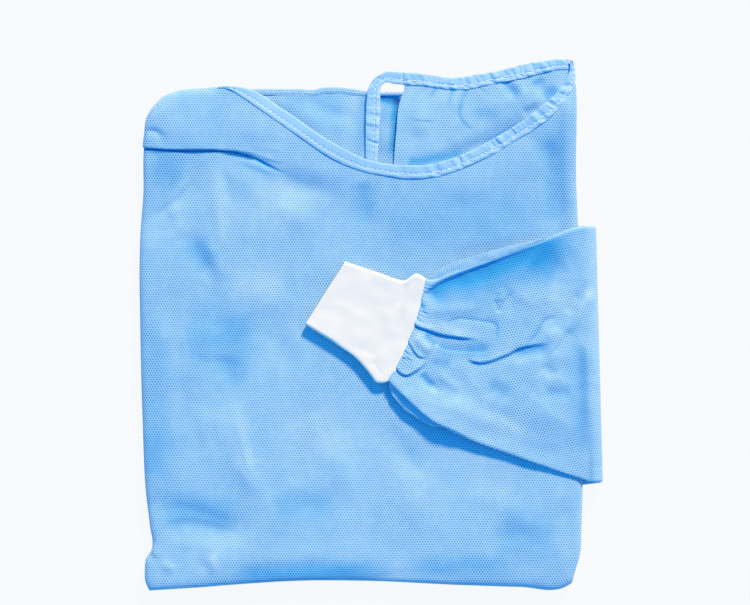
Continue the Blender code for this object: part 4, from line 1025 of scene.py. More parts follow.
# The tucked layers make room for the sleeve at the right, between these places along the pack.
TUCKED_RIGHT = 150.0
TUCKED_FROM = (-155.0, -147.0)
TUCKED_TO = (97.0, 89.0)
AT_HEAD = (185.0, 197.0)
HEAD_INSET, HEAD_INSET_STEP = 1.8, 0.22
RIM_INSET = 9.0
LAYER_ROUND = 1.5
HIGHEST_LEVEL = 0.97
PACK_RIM = 380
PACK_TOP_RINGS = 26
INNER_RINGS = np.linspace(0.985, 0.02, PACK_TOP_RINGS)


def pack_outline():
    """Return the pack's outline as one even loop, counter-clockwise."""
    right = [row for row in RIGHT_EDGE if row[1] < PACK_RIGHT_TOP[1]] + [PACK_RIGHT_TOP]
    loop = np.concatenate((smooth_curve(BOTTOM_EDGE)[:, :2], smooth_curve(right)[1:, :2],
                           smooth_curve(HEAD_EDGE)[-2::-1, :2], smooth_curve(LEFT_EDGE)[-2::-1]))
    length = travelled(loop)
    return rows_at(np.linspace(0.0, length[-1], PACK_RIM + 1)[:-1], length, loop)


def inset_loop(loop, inset):
    """Move each place of a loop towards the middle, so that its side moves in by the inset."""
    tangent = np.roll(loop, -3, axis=0) - np.roll(loop, 3, axis=0)
    outward = unit(np.stack((tangent[:, 1], -tangent[:, 0]), axis=1))
    support = ((loop - PACK_MIDDLE) * outward).sum(axis=1)
    return loop - (loop - PACK_MIDDLE) * (inset / support)[:, None]


loop = pack_outline()
rim_height = hidden_height(inset_loop(loop, np.full(PACK_RIM, RIM_INSET)))
beside = (loop[:, 0] > TUCKED_RIGHT) * smoothstep(loop[:, 1], *TUCKED_FROM) \
    * smoothstep(loop[:, 1], *TUCKED_TO)
at_head = smoothstep(loop[:, 1], *AT_HEAD)
around = np.arange(PACK_RIM) / PACK_RIM * 2.0 * np.pi
pack_rings = []
for number, (low, high, inset) in enumerate(PACK_LAYERS):
    inset = inset * (1.0 - at_head) + (HEAD_INSET + HEAD_INSET_STEP * number) * at_head
    wander = 0.5 * np.sin(around * (5 + number) + 1.9 * number) \
        + 0.35 * np.sin(around * (13 + 3 * number) + number)
    swell = 0.02 * np.sin(around * (7 + number) + number)
    for angle in np.linspace(-np.pi / 2, np.pi / 2, LAYER_TURN):
        depth = inset + wander + LAYER_ROUND * (1.0 - np.cos(angle))
        if number < TUCKED_LAYERS:
            depth = depth + (TUCKED_INSET - depth) * beside
        level = low + (high - low) * (0.5 + 0.5 * np.sin(angle)) + swell * min(number, 1)
        level = rim_height * np.clip(level, 0.0, HIGHEST_LEVEL)
        pack_rings.append(raised(inset_loop(loop, depth), level))
top_edge, bottom_edge = pack_rings[-1][:, :2], pack_rings[0][:, :2]
for share in INNER_RINGS:
    plan = PACK_MIDDLE + (top_edge - PACK_MIDDLE) * share
    blend = smoothstep(1.0 - share, 0.0, 0.04)
    height = hidden_height(plan) * blend + pack_rings[-1][:, 2] * (1.0 - blend)
    pack_rings.append(raised(plan, height))
    plan = PACK_MIDDLE + (bottom_edge - PACK_MIDDLE) * share
    press = np.maximum(folded_waves(plan, 31, 0.35, 140.0, 40.0) + 0.1, 0.0)
    pack_rings.insert(0, raised(plan, press * smoothstep(1.0 - share, 0.0, 0.05)))
pack_rings = closed(np.array(pack_rings))
pack_plan = pack_rings[..., :2].copy()
away = unit(np.concatenate((loop, loop[:1])) - PACK_MIDDLE)
for k in range(PACK_TOP_RINGS, PACK_TOP_RINGS + len(PACK_LAYERS) * LAYER_TURN):
    step = np.linalg.norm(pack_rings[k] - pack_rings[k - 1], axis=1, keepdims=True)
    pack_plan[k] = pack_plan[k - 1] + away * step
pack = closed_rings("folded_skirt", pack_rings, pack_plan, BLUE_CLOTH)
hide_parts("folded_layers")
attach(pack, "root")

# %% [markdown]
# ## The back panels in the neck opening
#
# Through the neck opening one looks at the inner sides of both back panels, the right one lapped
# over the left. They are plain sheets with a few pulled gathers below their bindings. Each is a
# grid between its measured edges, at its own level below the front, so the lap is a real step and
# casts a real shadow.

# %% Back panels
# Rows of the left back: x, the lower and the upper y
LEFT_BACK = (
    (-112.0, 190.0, 203.5), (-98.0, 180.0, 203.2), (-80.0, 167.0, 203.0),
    (-62.0, 155.0, 202.8), (-45.0, 143.5, 203.0), (-27.0, 132.5, 204.0),
    (-10.0, 125.5, 202.3), (8.0, 121.5, 200.3), (25.0, 119.5, 200.2), (44.0, 119.5, 199.8),
)
RIGHT_BACK_LEFT = (
    (17.0, 119.0), (19.5, 140.5), (22.0, 169.5), (24.5, 192.5), (28.6, 205.0), (28.8, 216.5),
)
RIGHT_BACK_LOWER = (
    (17.0, 119.0), (32.0, 118.5), (57.0, 120.0), (74.0, 124.5), (97.0, 134.0),
    (114.0, 142.5), (133.0, 154.0), (147.0, 163.0), (158.0, 172.0), (166.0, 181.0),
)
RIGHT_BACK_UPPER = (
    (28.8, 216.5), (42.5, 215.5), (55.0, 213.5), (70.0, 212.0), (83.0, 213.0), (97.5, 215.5),
    (110.7, 218.2), (129.7, 222.0), (149.5, 226.5), (160.3, 228.2), (175.0, 227.6),
)
RIGHT_BACK_RIGHT = ((166.0, 181.0), (171.0, 200.0), (174.5, 212.0), (175.0, 227.6))
BACK_COLUMNS = 150
BACK_ROWS = 90
RIGHT_BACK_CREASES = (
    sharp(-0.45, 1.5, (438, 88), (433, 95), (423, 107), fade=(0.15, 0.6)),
    sharp(-0.35, 1.3, (446, 88), (443, 96), (439, 104), fade=(0.15, 0.6)),
    sharp(-0.45, 1.5, (455, 88), (453.5, 95), (452, 102), fade=(0.15, 0.6)),
    sharp(-0.65, 1.6, (466, 88), (465, 97), (461.5, 108), fade=(0.15, 0.6)),
    sharp(-0.4, 1.5, (478, 87), (483, 92), (489, 96), fade=(0.15, 0.6)),
    sharp(-0.3, 1.4, (428, 87), (421, 96), (416, 103), fade=(0.15, 0.6)),
    lap(0.35, 1.8, (408, 117.5), (416, 120), (426, 121), (436, 121)),
    soft(-1.1, 4.5, (502, 78), (509, 87), (518, 98), fade=(0.25, 0.4)),
    soft(0.6, 5.0, (514, 78), (522, 92), (530, 102), fade=(0.3, 0.4)),
    soft(-1.0, 6.0, (536, 78), (544, 90), (552, 99), fade=(0.25, 0.3)),
    soft(-0.7, 4.0, (520, 113), (530, 110), (540, 108)),
    soft(-1.3, 7.0, (556, 86), (538, 108), (514, 126), (488, 141), (464, 152), (436, 160),
         (410, 162), fade=(0.2, 0.3)),
    sharp(-0.5, 1.5, (462, 102), (459, 115), (468, 128), (477, 133), fade=(0.2, 0.4)),
    soft(0.6, 7.0, (412, 100), (418, 118), (420, 140)),
    soft(-0.5, 7.0, (462, 112), (480, 118), (500, 116)),
)
LEFT_BACK_CREASES = (
    soft(0.5, 7.0, (268, 94), (300, 112), (336, 136)),
    soft(-0.5, 6.0, (262, 96), (288, 122), (318, 144)),
    soft(-0.5, 6.0, (300, 94), (330, 112), (362, 120)),
    soft(-0.8, 4.0, (363.5, 93), (362.5, 120), (364, 158), fade=(0.2, 0.3)),
    soft(0.6, 5.0, (388, 106), (387, 130), (384, 158)),
    soft(-1.1, 4.0, (379, 98), (390, 99), (400, 100), fade=(0.1, 0.1)),
    soft(-0.8, 4.0, (398, 96), (395, 130), (392, 165), fade=(0.1, 0.3)),
)
# The creases of both backs were drawn shallow, and one number deepens all of them.
BACK_RELIEF = 1.6
# Painted shade and painted light on the right back: shadows beside its gathers and along the front
# binding
RIGHT_BACK_PAINTED_SHADE_AND_LIGHT = (
    soft(0.35, 4.0, (503, 83), (510, 88), (516, 93), (521, 98), fade=(0.2, 0.3)),
    soft(0.3, 4.5, (531, 86), (539, 82), (546, 79)),
    soft(0.4, 6.0, (543, 98), (550, 94), (559, 88), fade=(0.2, 0.2)),
    soft(0.25, 3.5, (523, 112), (530, 110), (536, 108)),
    soft(0.4, 2.0, (480, 143), (492, 137.5), (502, 132.5), (513, 126), (523, 121),
         fade=(0.2, 0.2)),
    soft(0.45, 4.5, (405, 161), (420, 161), (433, 159), (448, 157), (462, 152), (472, 146),
         fade=(0.1, 0.3)),
    soft(0.14, 9.0, (472, 112), (488, 114), (504, 112)),
    soft(0.3, 1.6, (434, 88), (433, 93), (430, 99), fade=(0.1, 0.5)),
    soft(0.3, 1.6, (453, 88), (451, 96), (448, 108), fade=(0.1, 0.5)),
    soft(0.28, 2.2, (465.5, 88), (462, 102), (459, 115), (468, 128), (477, 133), fade=(0.1, 0.4)),
    soft(-0.1, 12.0, (420, 120), (440, 132), (470, 126)),
)
# Painted shade on the left back: the shadow under its hem, beside the tie and at the right panel's
# edge
LEFT_BACK_PAINTED_SHADE = (
    soft(0.95, 4.5, (377, 97), (390, 99.5), (401, 101), fade=(0.05, 0.05)),
    soft(0.25, 8.0, (380, 110), (388, 114), (396, 118), fade=(0.2, 0.2)),
    soft(0.6, 4.5, (398, 98), (396, 120), (393, 145), (390, 165), fade=(0.05, 0.3)),
    soft(0.25, 5.0, (362, 94), (361, 120), (363, 158), fade=(0.2, 0.3)),
    soft(0.17, 22.0, (275, 98), (310, 108), (350, 112), fade=(0.2, 0.2)),
)


def back_cloth(name, plan, drop, table, seed, painted_shade_and_highlight):
    """Make one back panel from its plan, a drop below the front panel's face."""
    height = base_height(plan) - drop - HALF_SHELL + BACK_RELIEF * creases(plan, table)
    height += crumple(plan, seed, 0.14, 60.0, 12.0) \
        + folded_waves(plan, seed + 1, 0.12, 60.0, 22.0)
    # The tone attribute paints the panel's shade and light into its colour
    return shell(name, raised(plan, height), plan, BLUE_CLOTH,
                 tone=PAINTED_LIGHT_AND_SHADE_SHARE * creases(plan, painted_shade_and_highlight))


across, up = np.linspace(0.0, 1.0, BACK_COLUMNS), np.linspace(0.0, 1.0, BACK_ROWS)
x, _, low, high = along([(x, (low + high) / 2, low, high) for x, low, high in LEFT_BACK],
                        across).T
rise = up[:, None]
left_plan = np.stack(np.broadcast_arrays(x, low * (1 - rise) + high * rise), axis=-1)
left_back = back_cloth("left_back_cloth", left_plan, LEFT_BACK_DROP, LEFT_BACK_CREASES, 21,
                       LEFT_BACK_PAINTED_SHADE)
right_plan = fill_border(along(RIGHT_BACK_LOWER, across), along(RIGHT_BACK_UPPER, across),
                         along(RIGHT_BACK_LEFT, up), along(RIGHT_BACK_RIGHT, up), across, up)
right_back = back_cloth("right_back_cloth", right_plan, RIGHT_BACK_DROP, RIGHT_BACK_CREASES, 23,
                        RIGHT_BACK_PAINTED_SHADE_AND_LIGHT)
for piece, node, flat, area in ((left_back, "back_panel_left", (0.16, 0.085), 0.0095),
                                (right_back, "back_panel_right", (0.155, 0.11), 0.0125)):
    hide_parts(node)
    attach(piece, "root")

# %% [markdown]
# ## Stitches
#
# A sewing machine lays stitches of one length in a row. That repeats, so Geometry Nodes make it:
# the row's path is resampled at the length of a stitch and its gap, a small spindle is put on each
# point, turned along the path and a little off it at random, and the lot is made real.

# %% Geometry Nodes for a row of stitches


def stitch_tree():
    """Build the node tree that sews along a path."""
    tree = bpy.data.node_groups.new("sewn_row", "GeometryNodeTree")
    sockets = {}
    for name, kind, value in (("Path", "NodeSocketGeometry", None),
                              ("Stitch Length", "NodeSocketFloat", 0.0036),
                              ("Gap", "NodeSocketFloat", 0.0009),
                              ("Thread Radius", "NodeSocketFloat", 0.0004),
                              ("Slant", "NodeSocketFloat", 0.08),
                              ("Seed", "NodeSocketInt", 1),
                              ("Thread", "NodeSocketMaterial", None)):
        socket = tree.interface.new_socket(name, in_out="INPUT", socket_type=kind)
        if value is not None:
            socket.default_value = value
        sockets[name] = socket.identifier
    tree.interface.new_socket("Sewn", in_out="OUTPUT", socket_type="NodeSocketGeometry")

    def add(kind, settings=None, output=0, **values):
        return add_node(tree, "GeometryNode" + kind, settings, output, **values)

    path, length, gap, radius, slant, seed, yarn = (
        Shade(tree, socket) for socket in tree.nodes.new("NodeGroupInput").outputs[:-1])
    even = add("ResampleCurve", {"mode": "LENGTH"}, Curve=add("MeshToCurve", i0=path),
               Length=length + gap)
    size = add_node(tree, "ShaderNodeCombineXYZ", X=length * 0.5, Y=radius, Z=radius)
    forward = add_node(tree, "FunctionNodeAlignRotationToVector", {"axis": "X"},
                       Vector=add("InputTangent"))
    slanted = add_node(tree, "FunctionNodeRandomValue", {"data_type": "FLOAT"}, 1,
                       i2=slant * -1.0, i3=slant, Seed=seed)
    turned = add_node(tree, "FunctionNodeRotateRotation", {"rotation_space": "LOCAL"},
                      i0=forward, i1=add_node(tree, "ShaderNodeCombineXYZ", Z=slanted))
    stitches = add("InstanceOnPoints", Points=even, Rotation=turned, Scale=size,
                   Instance=add("MeshIcoSphere", Radius=1.0, Subdivisions=2))
    real = add("SetShadeSmooth", i0=add("RealizeInstances", i0=stitches))
    join(tree, tree.nodes.new("NodeGroupOutput").inputs[0],
         add("SetMaterial", i0=real, Material=yarn))
    return tree, sockets


# A spindle is a ball of triangles divided once more, which makes 80 of them.
SPINDLE_FACES = 80
SEWN_ROW, SEWN_SOCKETS = stitch_tree()


def sew(name, path, length, gap, radius, seed):
    """Sew a row of stitches along a path of points in millimetres."""
    mesh = bpy.data.meshes.new(name + "_path")
    mesh.from_pydata(((path + TABLE_SHIFT) * METRE).tolist(),
                     [(i, i + 1) for i in range(len(path) - 1)], [])
    source = add_object(name + "_path", mesh)
    modifier = source.modifiers.new("sewn_row", "NODES")
    modifier.node_group = SEWN_ROW
    for socket, value in (("Stitch Length", length * METRE), ("Gap", gap * METRE),
                          ("Thread Radius", radius * METRE), ("Seed", seed), ("Thread", THREAD)):
        modifier[SEWN_SOCKETS[socket]] = value
    evaluated = source.evaluated_get(bpy.context.evaluated_depsgraph_get())
    sewn = bpy.data.meshes.new_from_object(evaluated)
    bpy.data.objects.remove(source, do_unlink=True)
    item = add_object(name, sewn)
    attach(item, "root")
    print(name, "has", len(sewn.polygons) // SPINDLE_FACES, "stitches")
    return item


# %% [markdown]
# ## Binding tape, hem and tie
#
# The raw neck edge is wrapped in a folded tape and sewn once. Pulled round a curve, such a tape
# puckers: its free edge stands up as a narrow cord beside the stitches, and the flat part takes
# small pleats across it. Each tape is one closed section swept along the two edges measured for
# it, and the pleats are short lapped creases drawn at their places over finer seeded ones. The
# front tape starts narrow and a little lower, where it runs out along the shoulder's edge.

# %% Sections and pleats of the tape
# Section: share of the width from the open edge, distance added, level above the panel's face
TAPE_SECTION = (
    (1.0, 0.0, -0.5), (1.0, -0.1, 0.1), (1.0, -0.3, 0.4), (1.0, -0.8, 0.62), (1.0, -1.5, 0.7),
    (0.75, 0.0, 0.75), (0.65, 0.0, 0.75), (0.55, 0.0, 0.73), (0.47, 0.0, 0.68), (0.41, 0.0, 0.58),
    (0.37, 0.0, 0.4), (0.345, 0.0, 0.3), (0.32, 0.0, 0.4), (0.29, 0.0, 0.65),
    (0.25, 0.0, 0.8), (0.19, 0.0, 0.85), (0.12, 0.0, 0.72), (0.06, 0.0, 0.5), (0.02, 0.0, 0.28),
    (0.0, 0.0, 0.1), (0.02, 0.0, 0.0), (1.0, -1.9, -0.05), (1.0, -1.9, -1.5), (0.0, 0.0, -1.5),
    (0.0, 0.0, -2.4), (1.0, -1.6, -2.4), (1.0, -0.5, -1.8),
)
HEM_SECTION = (
    (1.0, 0.0, -0.5), (1.0, -0.2, 0.0), (1.0, -0.7, 0.25), (0.7, 0.0, 0.35), (0.4, 0.0, 0.32),
    (0.15, 0.0, 0.2), (0.03, 0.0, 0.0), (0.0, 0.0, -0.3), (0.03, 0.0, -0.7), (0.3, 0.0, -1.4),
    (0.7, 0.0, -1.5), (1.0, -0.4, -1.2),
)
SEAM_SHARE = 0.345
SEAM_LEVEL = 0.5


def pleats(*rows):
    """Return lapped creases right across a tape, from rows of height, width and points."""
    return [lap(*row, fade=(0.1, 0.1)) for row in rows]


FRONT_PLEATS = pleats(
    (0.7, 2.2, (459.5, 154), (461, 160), (463.5, 169)),
    (0.35, 1.6, (437, 160), (438.5, 170)),
    (0.35, 1.6, (446, 158), (448.5, 168)),
    (0.35, 1.6, (426, 162), (426.5, 172)),
    (0.45, 1.8, (484.5, 143), (491, 152)),
    (0.5, 1.8, (490, 140), (497, 149)),
    (0.45, 1.8, (494.5, 138), (502, 146)),
    (0.55, 2.0, (510, 128), (518, 136)),
    (0.45, 1.8, (519, 122), (526, 130)),
    (0.5, 2.0, (544, 104), (553, 111)),
    (0.4, 1.8, (552, 96), (561, 103)),
    (0.4, 1.8, (558, 91), (568, 97)),
    (0.3, 1.6, (404, 164), (404, 175)),
    (0.3, 1.6, (364, 158), (360, 168)),
    (0.25, 1.6, (316, 131), (310, 140)),
    (0.25, 1.6, (283, 109), (276, 118)),
)
RIGHT_PLEATS = pleats(
    (0.5, 1.8, (403.5, 71), (403.5, 86)),
    (0.4, 1.8, (434, 75), (435, 86)),
    (0.35, 1.8, (450, 76), (449, 88)),
    (0.35, 1.6, (459, 76), (458, 88)),
    (0.35, 1.6, (477, 74), (478, 86)),
    (0.35, 1.6, (491, 71), (493, 83)),
    (0.45, 1.8, (519, 64), (523, 77)),
    (0.4, 1.8, (532, 61), (536, 74)),
    (0.5, 1.8, (548, 59), (551, 71)),
    (0.4, 1.6, (556, 58), (559, 70)),
)
FINE_PLEAT = 0.26
# The cord beside the stitches: how strong its painted highlight is, and where, as a share of the
# width from the open edge
CORD_PAINTED_HIGHLIGHT = 0.45
CORD_SHARE = 0.13


def tape(name, edges, section, stations, drop, table, seed, gathered, material=TAPE):
    """Sweep a closed tape section between two edges. Returns the piece and its edge rows."""
    rows = along(edges, np.linspace(0.0, 1.0, stations))
    open_edge, fold_edge = rows[:, :2], rows[:, 2:4]
    run = fold_edge - open_edge
    width = np.linalg.norm(run, axis=1, keepdims=True)
    outline = smooth_section(section)
    share, added, level = outline.T
    travel = travelled(open_edge)
    girth = travelled(outline[:, (0, 2)] * (width.mean(), 1.0))
    plan = open_edge[:, None] + run[:, None] * share[:, None] \
        + (run / width)[:, None] * added[:, None]
    at = travel / travel[-1]
    deep = drop if np.ndim(drop) == 0 else np.interp(at, *drop)[:, None]
    on_top = smoothstep(level, 0.2, 0.7)
    waves = np.stack(np.broadcast_arrays(travel[:, None] + 2.0 * share, 3.0 * share), axis=-1)
    fine = crumple(waves, seed, FINE_PLEAT, 14.0, 3.0) * np.interp(at, *gathered)[:, None]
    height = base_height(plan) - deep + level + on_top * (creases(plan, table) + fine)
    girth = np.append(girth, girth[-1] + 1.0)[::-1]
    flat_plan = np.stack(np.broadcast_arrays(travel[:, None], girth), axis=-1)
    # A paler stripe along the raised cord: painted highlight, carried in the tone attribute
    bright = -CORD_PAINTED_HIGHLIGHT * np.exp(-((share - CORD_SHARE) / CORD_SHARE) ** 2) * on_top
    bright = closed(np.broadcast_to(bright, height.shape))[:, ::-1]
    grid = closed(raised(plan, height))[:, ::-1]
    return closed_rings(name, grid, flat_plan, material, bright), rows


def smooth_section(section):
    """Return a section's points with rounder corners: share, distance added, level."""
    table = np.array(section + section[:1])
    middle = (table[:-1] + table[1:]) / 2.0
    return np.stack((0.75 * table[:-1] + 0.25 * middle, middle), axis=1).reshape(-1, 3)


def seam_path(rows, drop, first, last, share=SEAM_SHARE, level=SEAM_LEVEL):
    """Return the points of a seam that runs along a tape."""
    kept = rows[int(first * len(rows)):int(last * len(rows))]
    plan = kept[:, :2] + (kept[:, 2:4] - kept[:, :2]) * share
    deep = drop if np.ndim(drop) == 0 else \
        np.interp(np.linspace(first, last, len(kept)), *drop)
    return raised(plan, base_height(plan) - deep + level)


# %% Front and back bindings, with their stitches
RIGHT_BACK_BINDING = (
    (28.5, 209.0, 28.5, 220.0), (42.5, 208.5, 42.5, 219.0), (55.0, 206.5, 55.0, 217.0),
    (69.0, 205.0, 70.5, 215.5), (83.0, 205.0, 83.0, 216.5), (99.0, 208.0, 97.0, 218.8),
    (112.5, 211.0, 110.0, 221.3), (132.0, 214.5, 129.0, 225.8),
    (151.0, 219.5, 149.0, 229.8), (161.5, 221.7, 160.5, 231.4),
    (172.1, 223.0, 172.0, 231.4),
)
LEFT_BACK_BINDING = (
    (-108.5, 200.6, -109.5, 205.4), (-98.0, 200.3, -98.5, 205.6), (-62.0, 200.0, -62.0, 205.5),
    (-51.5, 199.5, -51.5, 205.0), (-40.0, 201.5, -40.0, 207.0),
    (-27.0, 201.5, -27.0, 207.0), (-14.0, 200.0, -14.0, 205.5),
    (-3.5, 199.6, -3.5, 203.7), (8.0, 199.8, 8.0, 203.0), (28.6, 199.6, 28.6, 202.8),
)
# The front tape tapers off along the shoulder edge before it turns down to the neckline.
TAPE_START = ((-134.0, 206.4, -133.4, 207.2), (-128.0, 205.7, -127.0, 208.0))
TAPE_START_DROP = ((0.0, 0.03, 1.0), (1.8, 0.0, 0.0))
front_tape, front_edges = tape("front_neck_tape", TAPE_START + FRONT_BINDING + NECK_CORNER,
                               TAPE_SECTION, 640, TAPE_START_DROP, FRONT_PLEATS, 41,
                               ((0.0, 0.45, 0.62, 1.0), (0.15, 0.35, 0.9, 1.3)))
front_stitches = sew("front_neck_stitches", seam_path(front_edges, 0.0, 0.03, 0.985),
                     3.9, 0.5, 0.42, 5)
right_tape, right_rows = tape("right_back_tape", RIGHT_BACK_BINDING, TAPE_SECTION, 300,
                              RIGHT_BACK_DROP, RIGHT_PLEATS, 43, ((0.0, 1.0), (1.0, 1.5)))
right_stitches = sew("right_back_stitches", seam_path(right_rows, RIGHT_BACK_DROP, 0.03, 0.97),
                     3.9, 0.6, 0.42, 6)
left_tape, left_rows = tape("left_back_hem", LEFT_BACK_BINDING, HEM_SECTION, 220,
                            LEFT_BACK_DROP, (), 45, ((0.0, 1.0), (0.7, 0.7)), BLUE_CLOTH)
left_stitches = sew("left_back_stitches", seam_path(left_rows, LEFT_BACK_DROP, 0.02, 0.98,
                                                    0.45, 0.5), 3.2, 1.6, 0.26, 7)
for piece, node, flat, area, sewn in (
        (front_tape, "neck_binding_front", (0.024, 0.345), 0.0082, front_stitches),
        (right_tape, "neck_binding_back_right", (0.024, 0.145), 0.0034, right_stitches),
        (left_tape, "neck_binding_back_left", (0.01, 0.125), 0.0009, left_stitches)):
    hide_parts(node)
    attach(piece, "root")

# %% Tie
# Rows of the tie: x and y of both edges, and how far it lies below the front's face
NECK_TIE = (
    (29.2, 219.9, 29.2, 208.9, 3.2), (19.0, 220.5, 19.5, 210.0, 3.2),
    (10.5, 219.5, 12.5, 211.0, 3.0), (2.5, 214.5, 9.4, 209.0, 2.6),
    (-2.5, 206.5, 8.2, 205.0, 2.2), (-3.8, 197.5, 8.0, 198.5, 2.2),
    (-4.5, 186.0, 8.0, 186.0, 3.2), (-5.0, 165.0, 7.0, 165.0, 4.1),
    (-5.0, 150.0, 6.0, 150.0, 4.1), (-5.0, 134.0, 5.5, 134.0, 4.1),
)
TIE_SECTION = (
    (1.0, 0.0, 0.0), (0.97, 0.0, 0.45), (0.9, 0.0, 0.68), (0.75, 0.0, 0.75), (0.6, 0.0, 0.75),
    (0.5, 0.0, 0.68), (0.43, 0.0, 0.5), (0.4, 0.0, 0.35), (0.37, 0.0, 0.5), (0.32, 0.0, 0.85),
    (0.22, 0.0, 1.0), (0.1, 0.0, 0.9), (0.03, 0.0, 0.6), (0.0, 0.0, 0.1), (0.03, 0.0, -0.5),
    (0.1, 0.0, -0.8), (0.5, 0.0, -0.8), (0.9, 0.0, -0.8), (0.97, 0.0, -0.5),
)
TIE_SEAM_SHARE = 0.4
TIE_CREASES = (
    lap(-0.9, 3.0, (367, 90), (373, 84), (380, 77), fade=(0.1, 0.1)),
    sharp(-0.8, 1.2, (378, 77), (380, 79.5), (382.6, 82.4), fade=(0.1, 0.3)),
    lap(0.4, 2.0, (366, 139), (372, 141), (379, 144), fade=(0.2, 0.2)),
)
tie_edges = [(inner_x, inner_y, outer_x, outer_y)
             for outer_x, outer_y, inner_x, inner_y, drop in NECK_TIE]
tie_travel = travelled(np.array(tie_edges)[:, :2])
tie_drop = (tie_travel / tie_travel[-1], [row[4] for row in NECK_TIE])
tie, tie_rows = tape("neck_tie_tape", tie_edges, TIE_SECTION, 260, tie_drop, TIE_CREASES, 47,
                     ((0.0, 1.0), (0.7, 0.7)))
tie_stitches = sew("neck_tie_stitches", seam_path(tie_rows, tie_drop, 0.03, 0.97, TIE_SEAM_SHARE,
                                                  0.55), 3.9, 0.9, 0.45, 8)
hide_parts("neck_tie")
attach(tie, "root")

# %% [markdown]
# ## The sleeve
#
# The sleeve is a tube pressed flat. It comes out from under the pack, turns round the right edge
# and lies across the front, and it is gathered into the narrow cuff. At its lower edge near the
# cuff the under layer shows, because the tube is folded into a flat Z there.
#
# A tube is easiest as rings. Each ring starts at the upper edge, crosses the top layer, turns
# through the lower edge and comes back underneath. The creases radiate from the cuff, so they are
# drawn one by one. The first rings are thinner, because the sleeve's start is tucked into the
# cuff, and the lower edge is pressed flatter towards the right, where the folded tube lies closer.

# %% Tables of the sleeve, as in the CAD part
SLEEVE_THICKNESS = 5.6
CUFF_THICKNESS = 4.2
EDGE_ROUND = 3.2
SLEEVE_REST = 1.0
SLEEVE_LEVEL = SLEEVE_REST + SLEEVE_THICKNESS / 2.0
SLEEVE_LIFT = 2.2
SLEEVE_LIFT_FADE = (0.7, 1.0)
BACK_SLEEVE_THICKNESS = 5.0
BACK_SLEEVE_SPREAD = 4.5
SEAM_BOW = 4.5
SEAM_BOW_REACH = 0.3
SLEEVE_UPPER = (
    (45.0, 41.0), (53.0, 39.5), (68.5, 45.0), (86.0, 51.0), (112.0, 59.5), (129.5, 65.5),
    (151.5, 74.5), (164.5, 80.5), (176.0, 84.5), (184.2, 85.8),
)
SLEEVE_LOWER = (
    (14.0, -48.0), (21.5, -55.5), (29.5, -63.5), (42.5, -75.5), (55.5, -85.5), (68.5, -92.0),
    (86.0, -100.0), (121.0, -113.0), (164.5, -128.0), (190.2, -136.5),
)
UNDER_LAYER = ((0.0, 1.0), (0.05, 8.0), (0.13, 9.0), (0.22, 6.0), (0.36, 0.0), (1.0, 0.0))
SLEEVE_STATIONS = 165
UPPER_POINTS = 150
LOWER_POINTS = 46
FOLD_STEPS = 26
BACK_STEPS = 10
BACK_REACH = 15.0
STATION_CROWDING = 1.15
UPPER_LENGTH = 150.0
LOWER_EXTRA = 55.0
RELIEF_TURN = 1.2
SLEEVE_CLOTH = 0.7
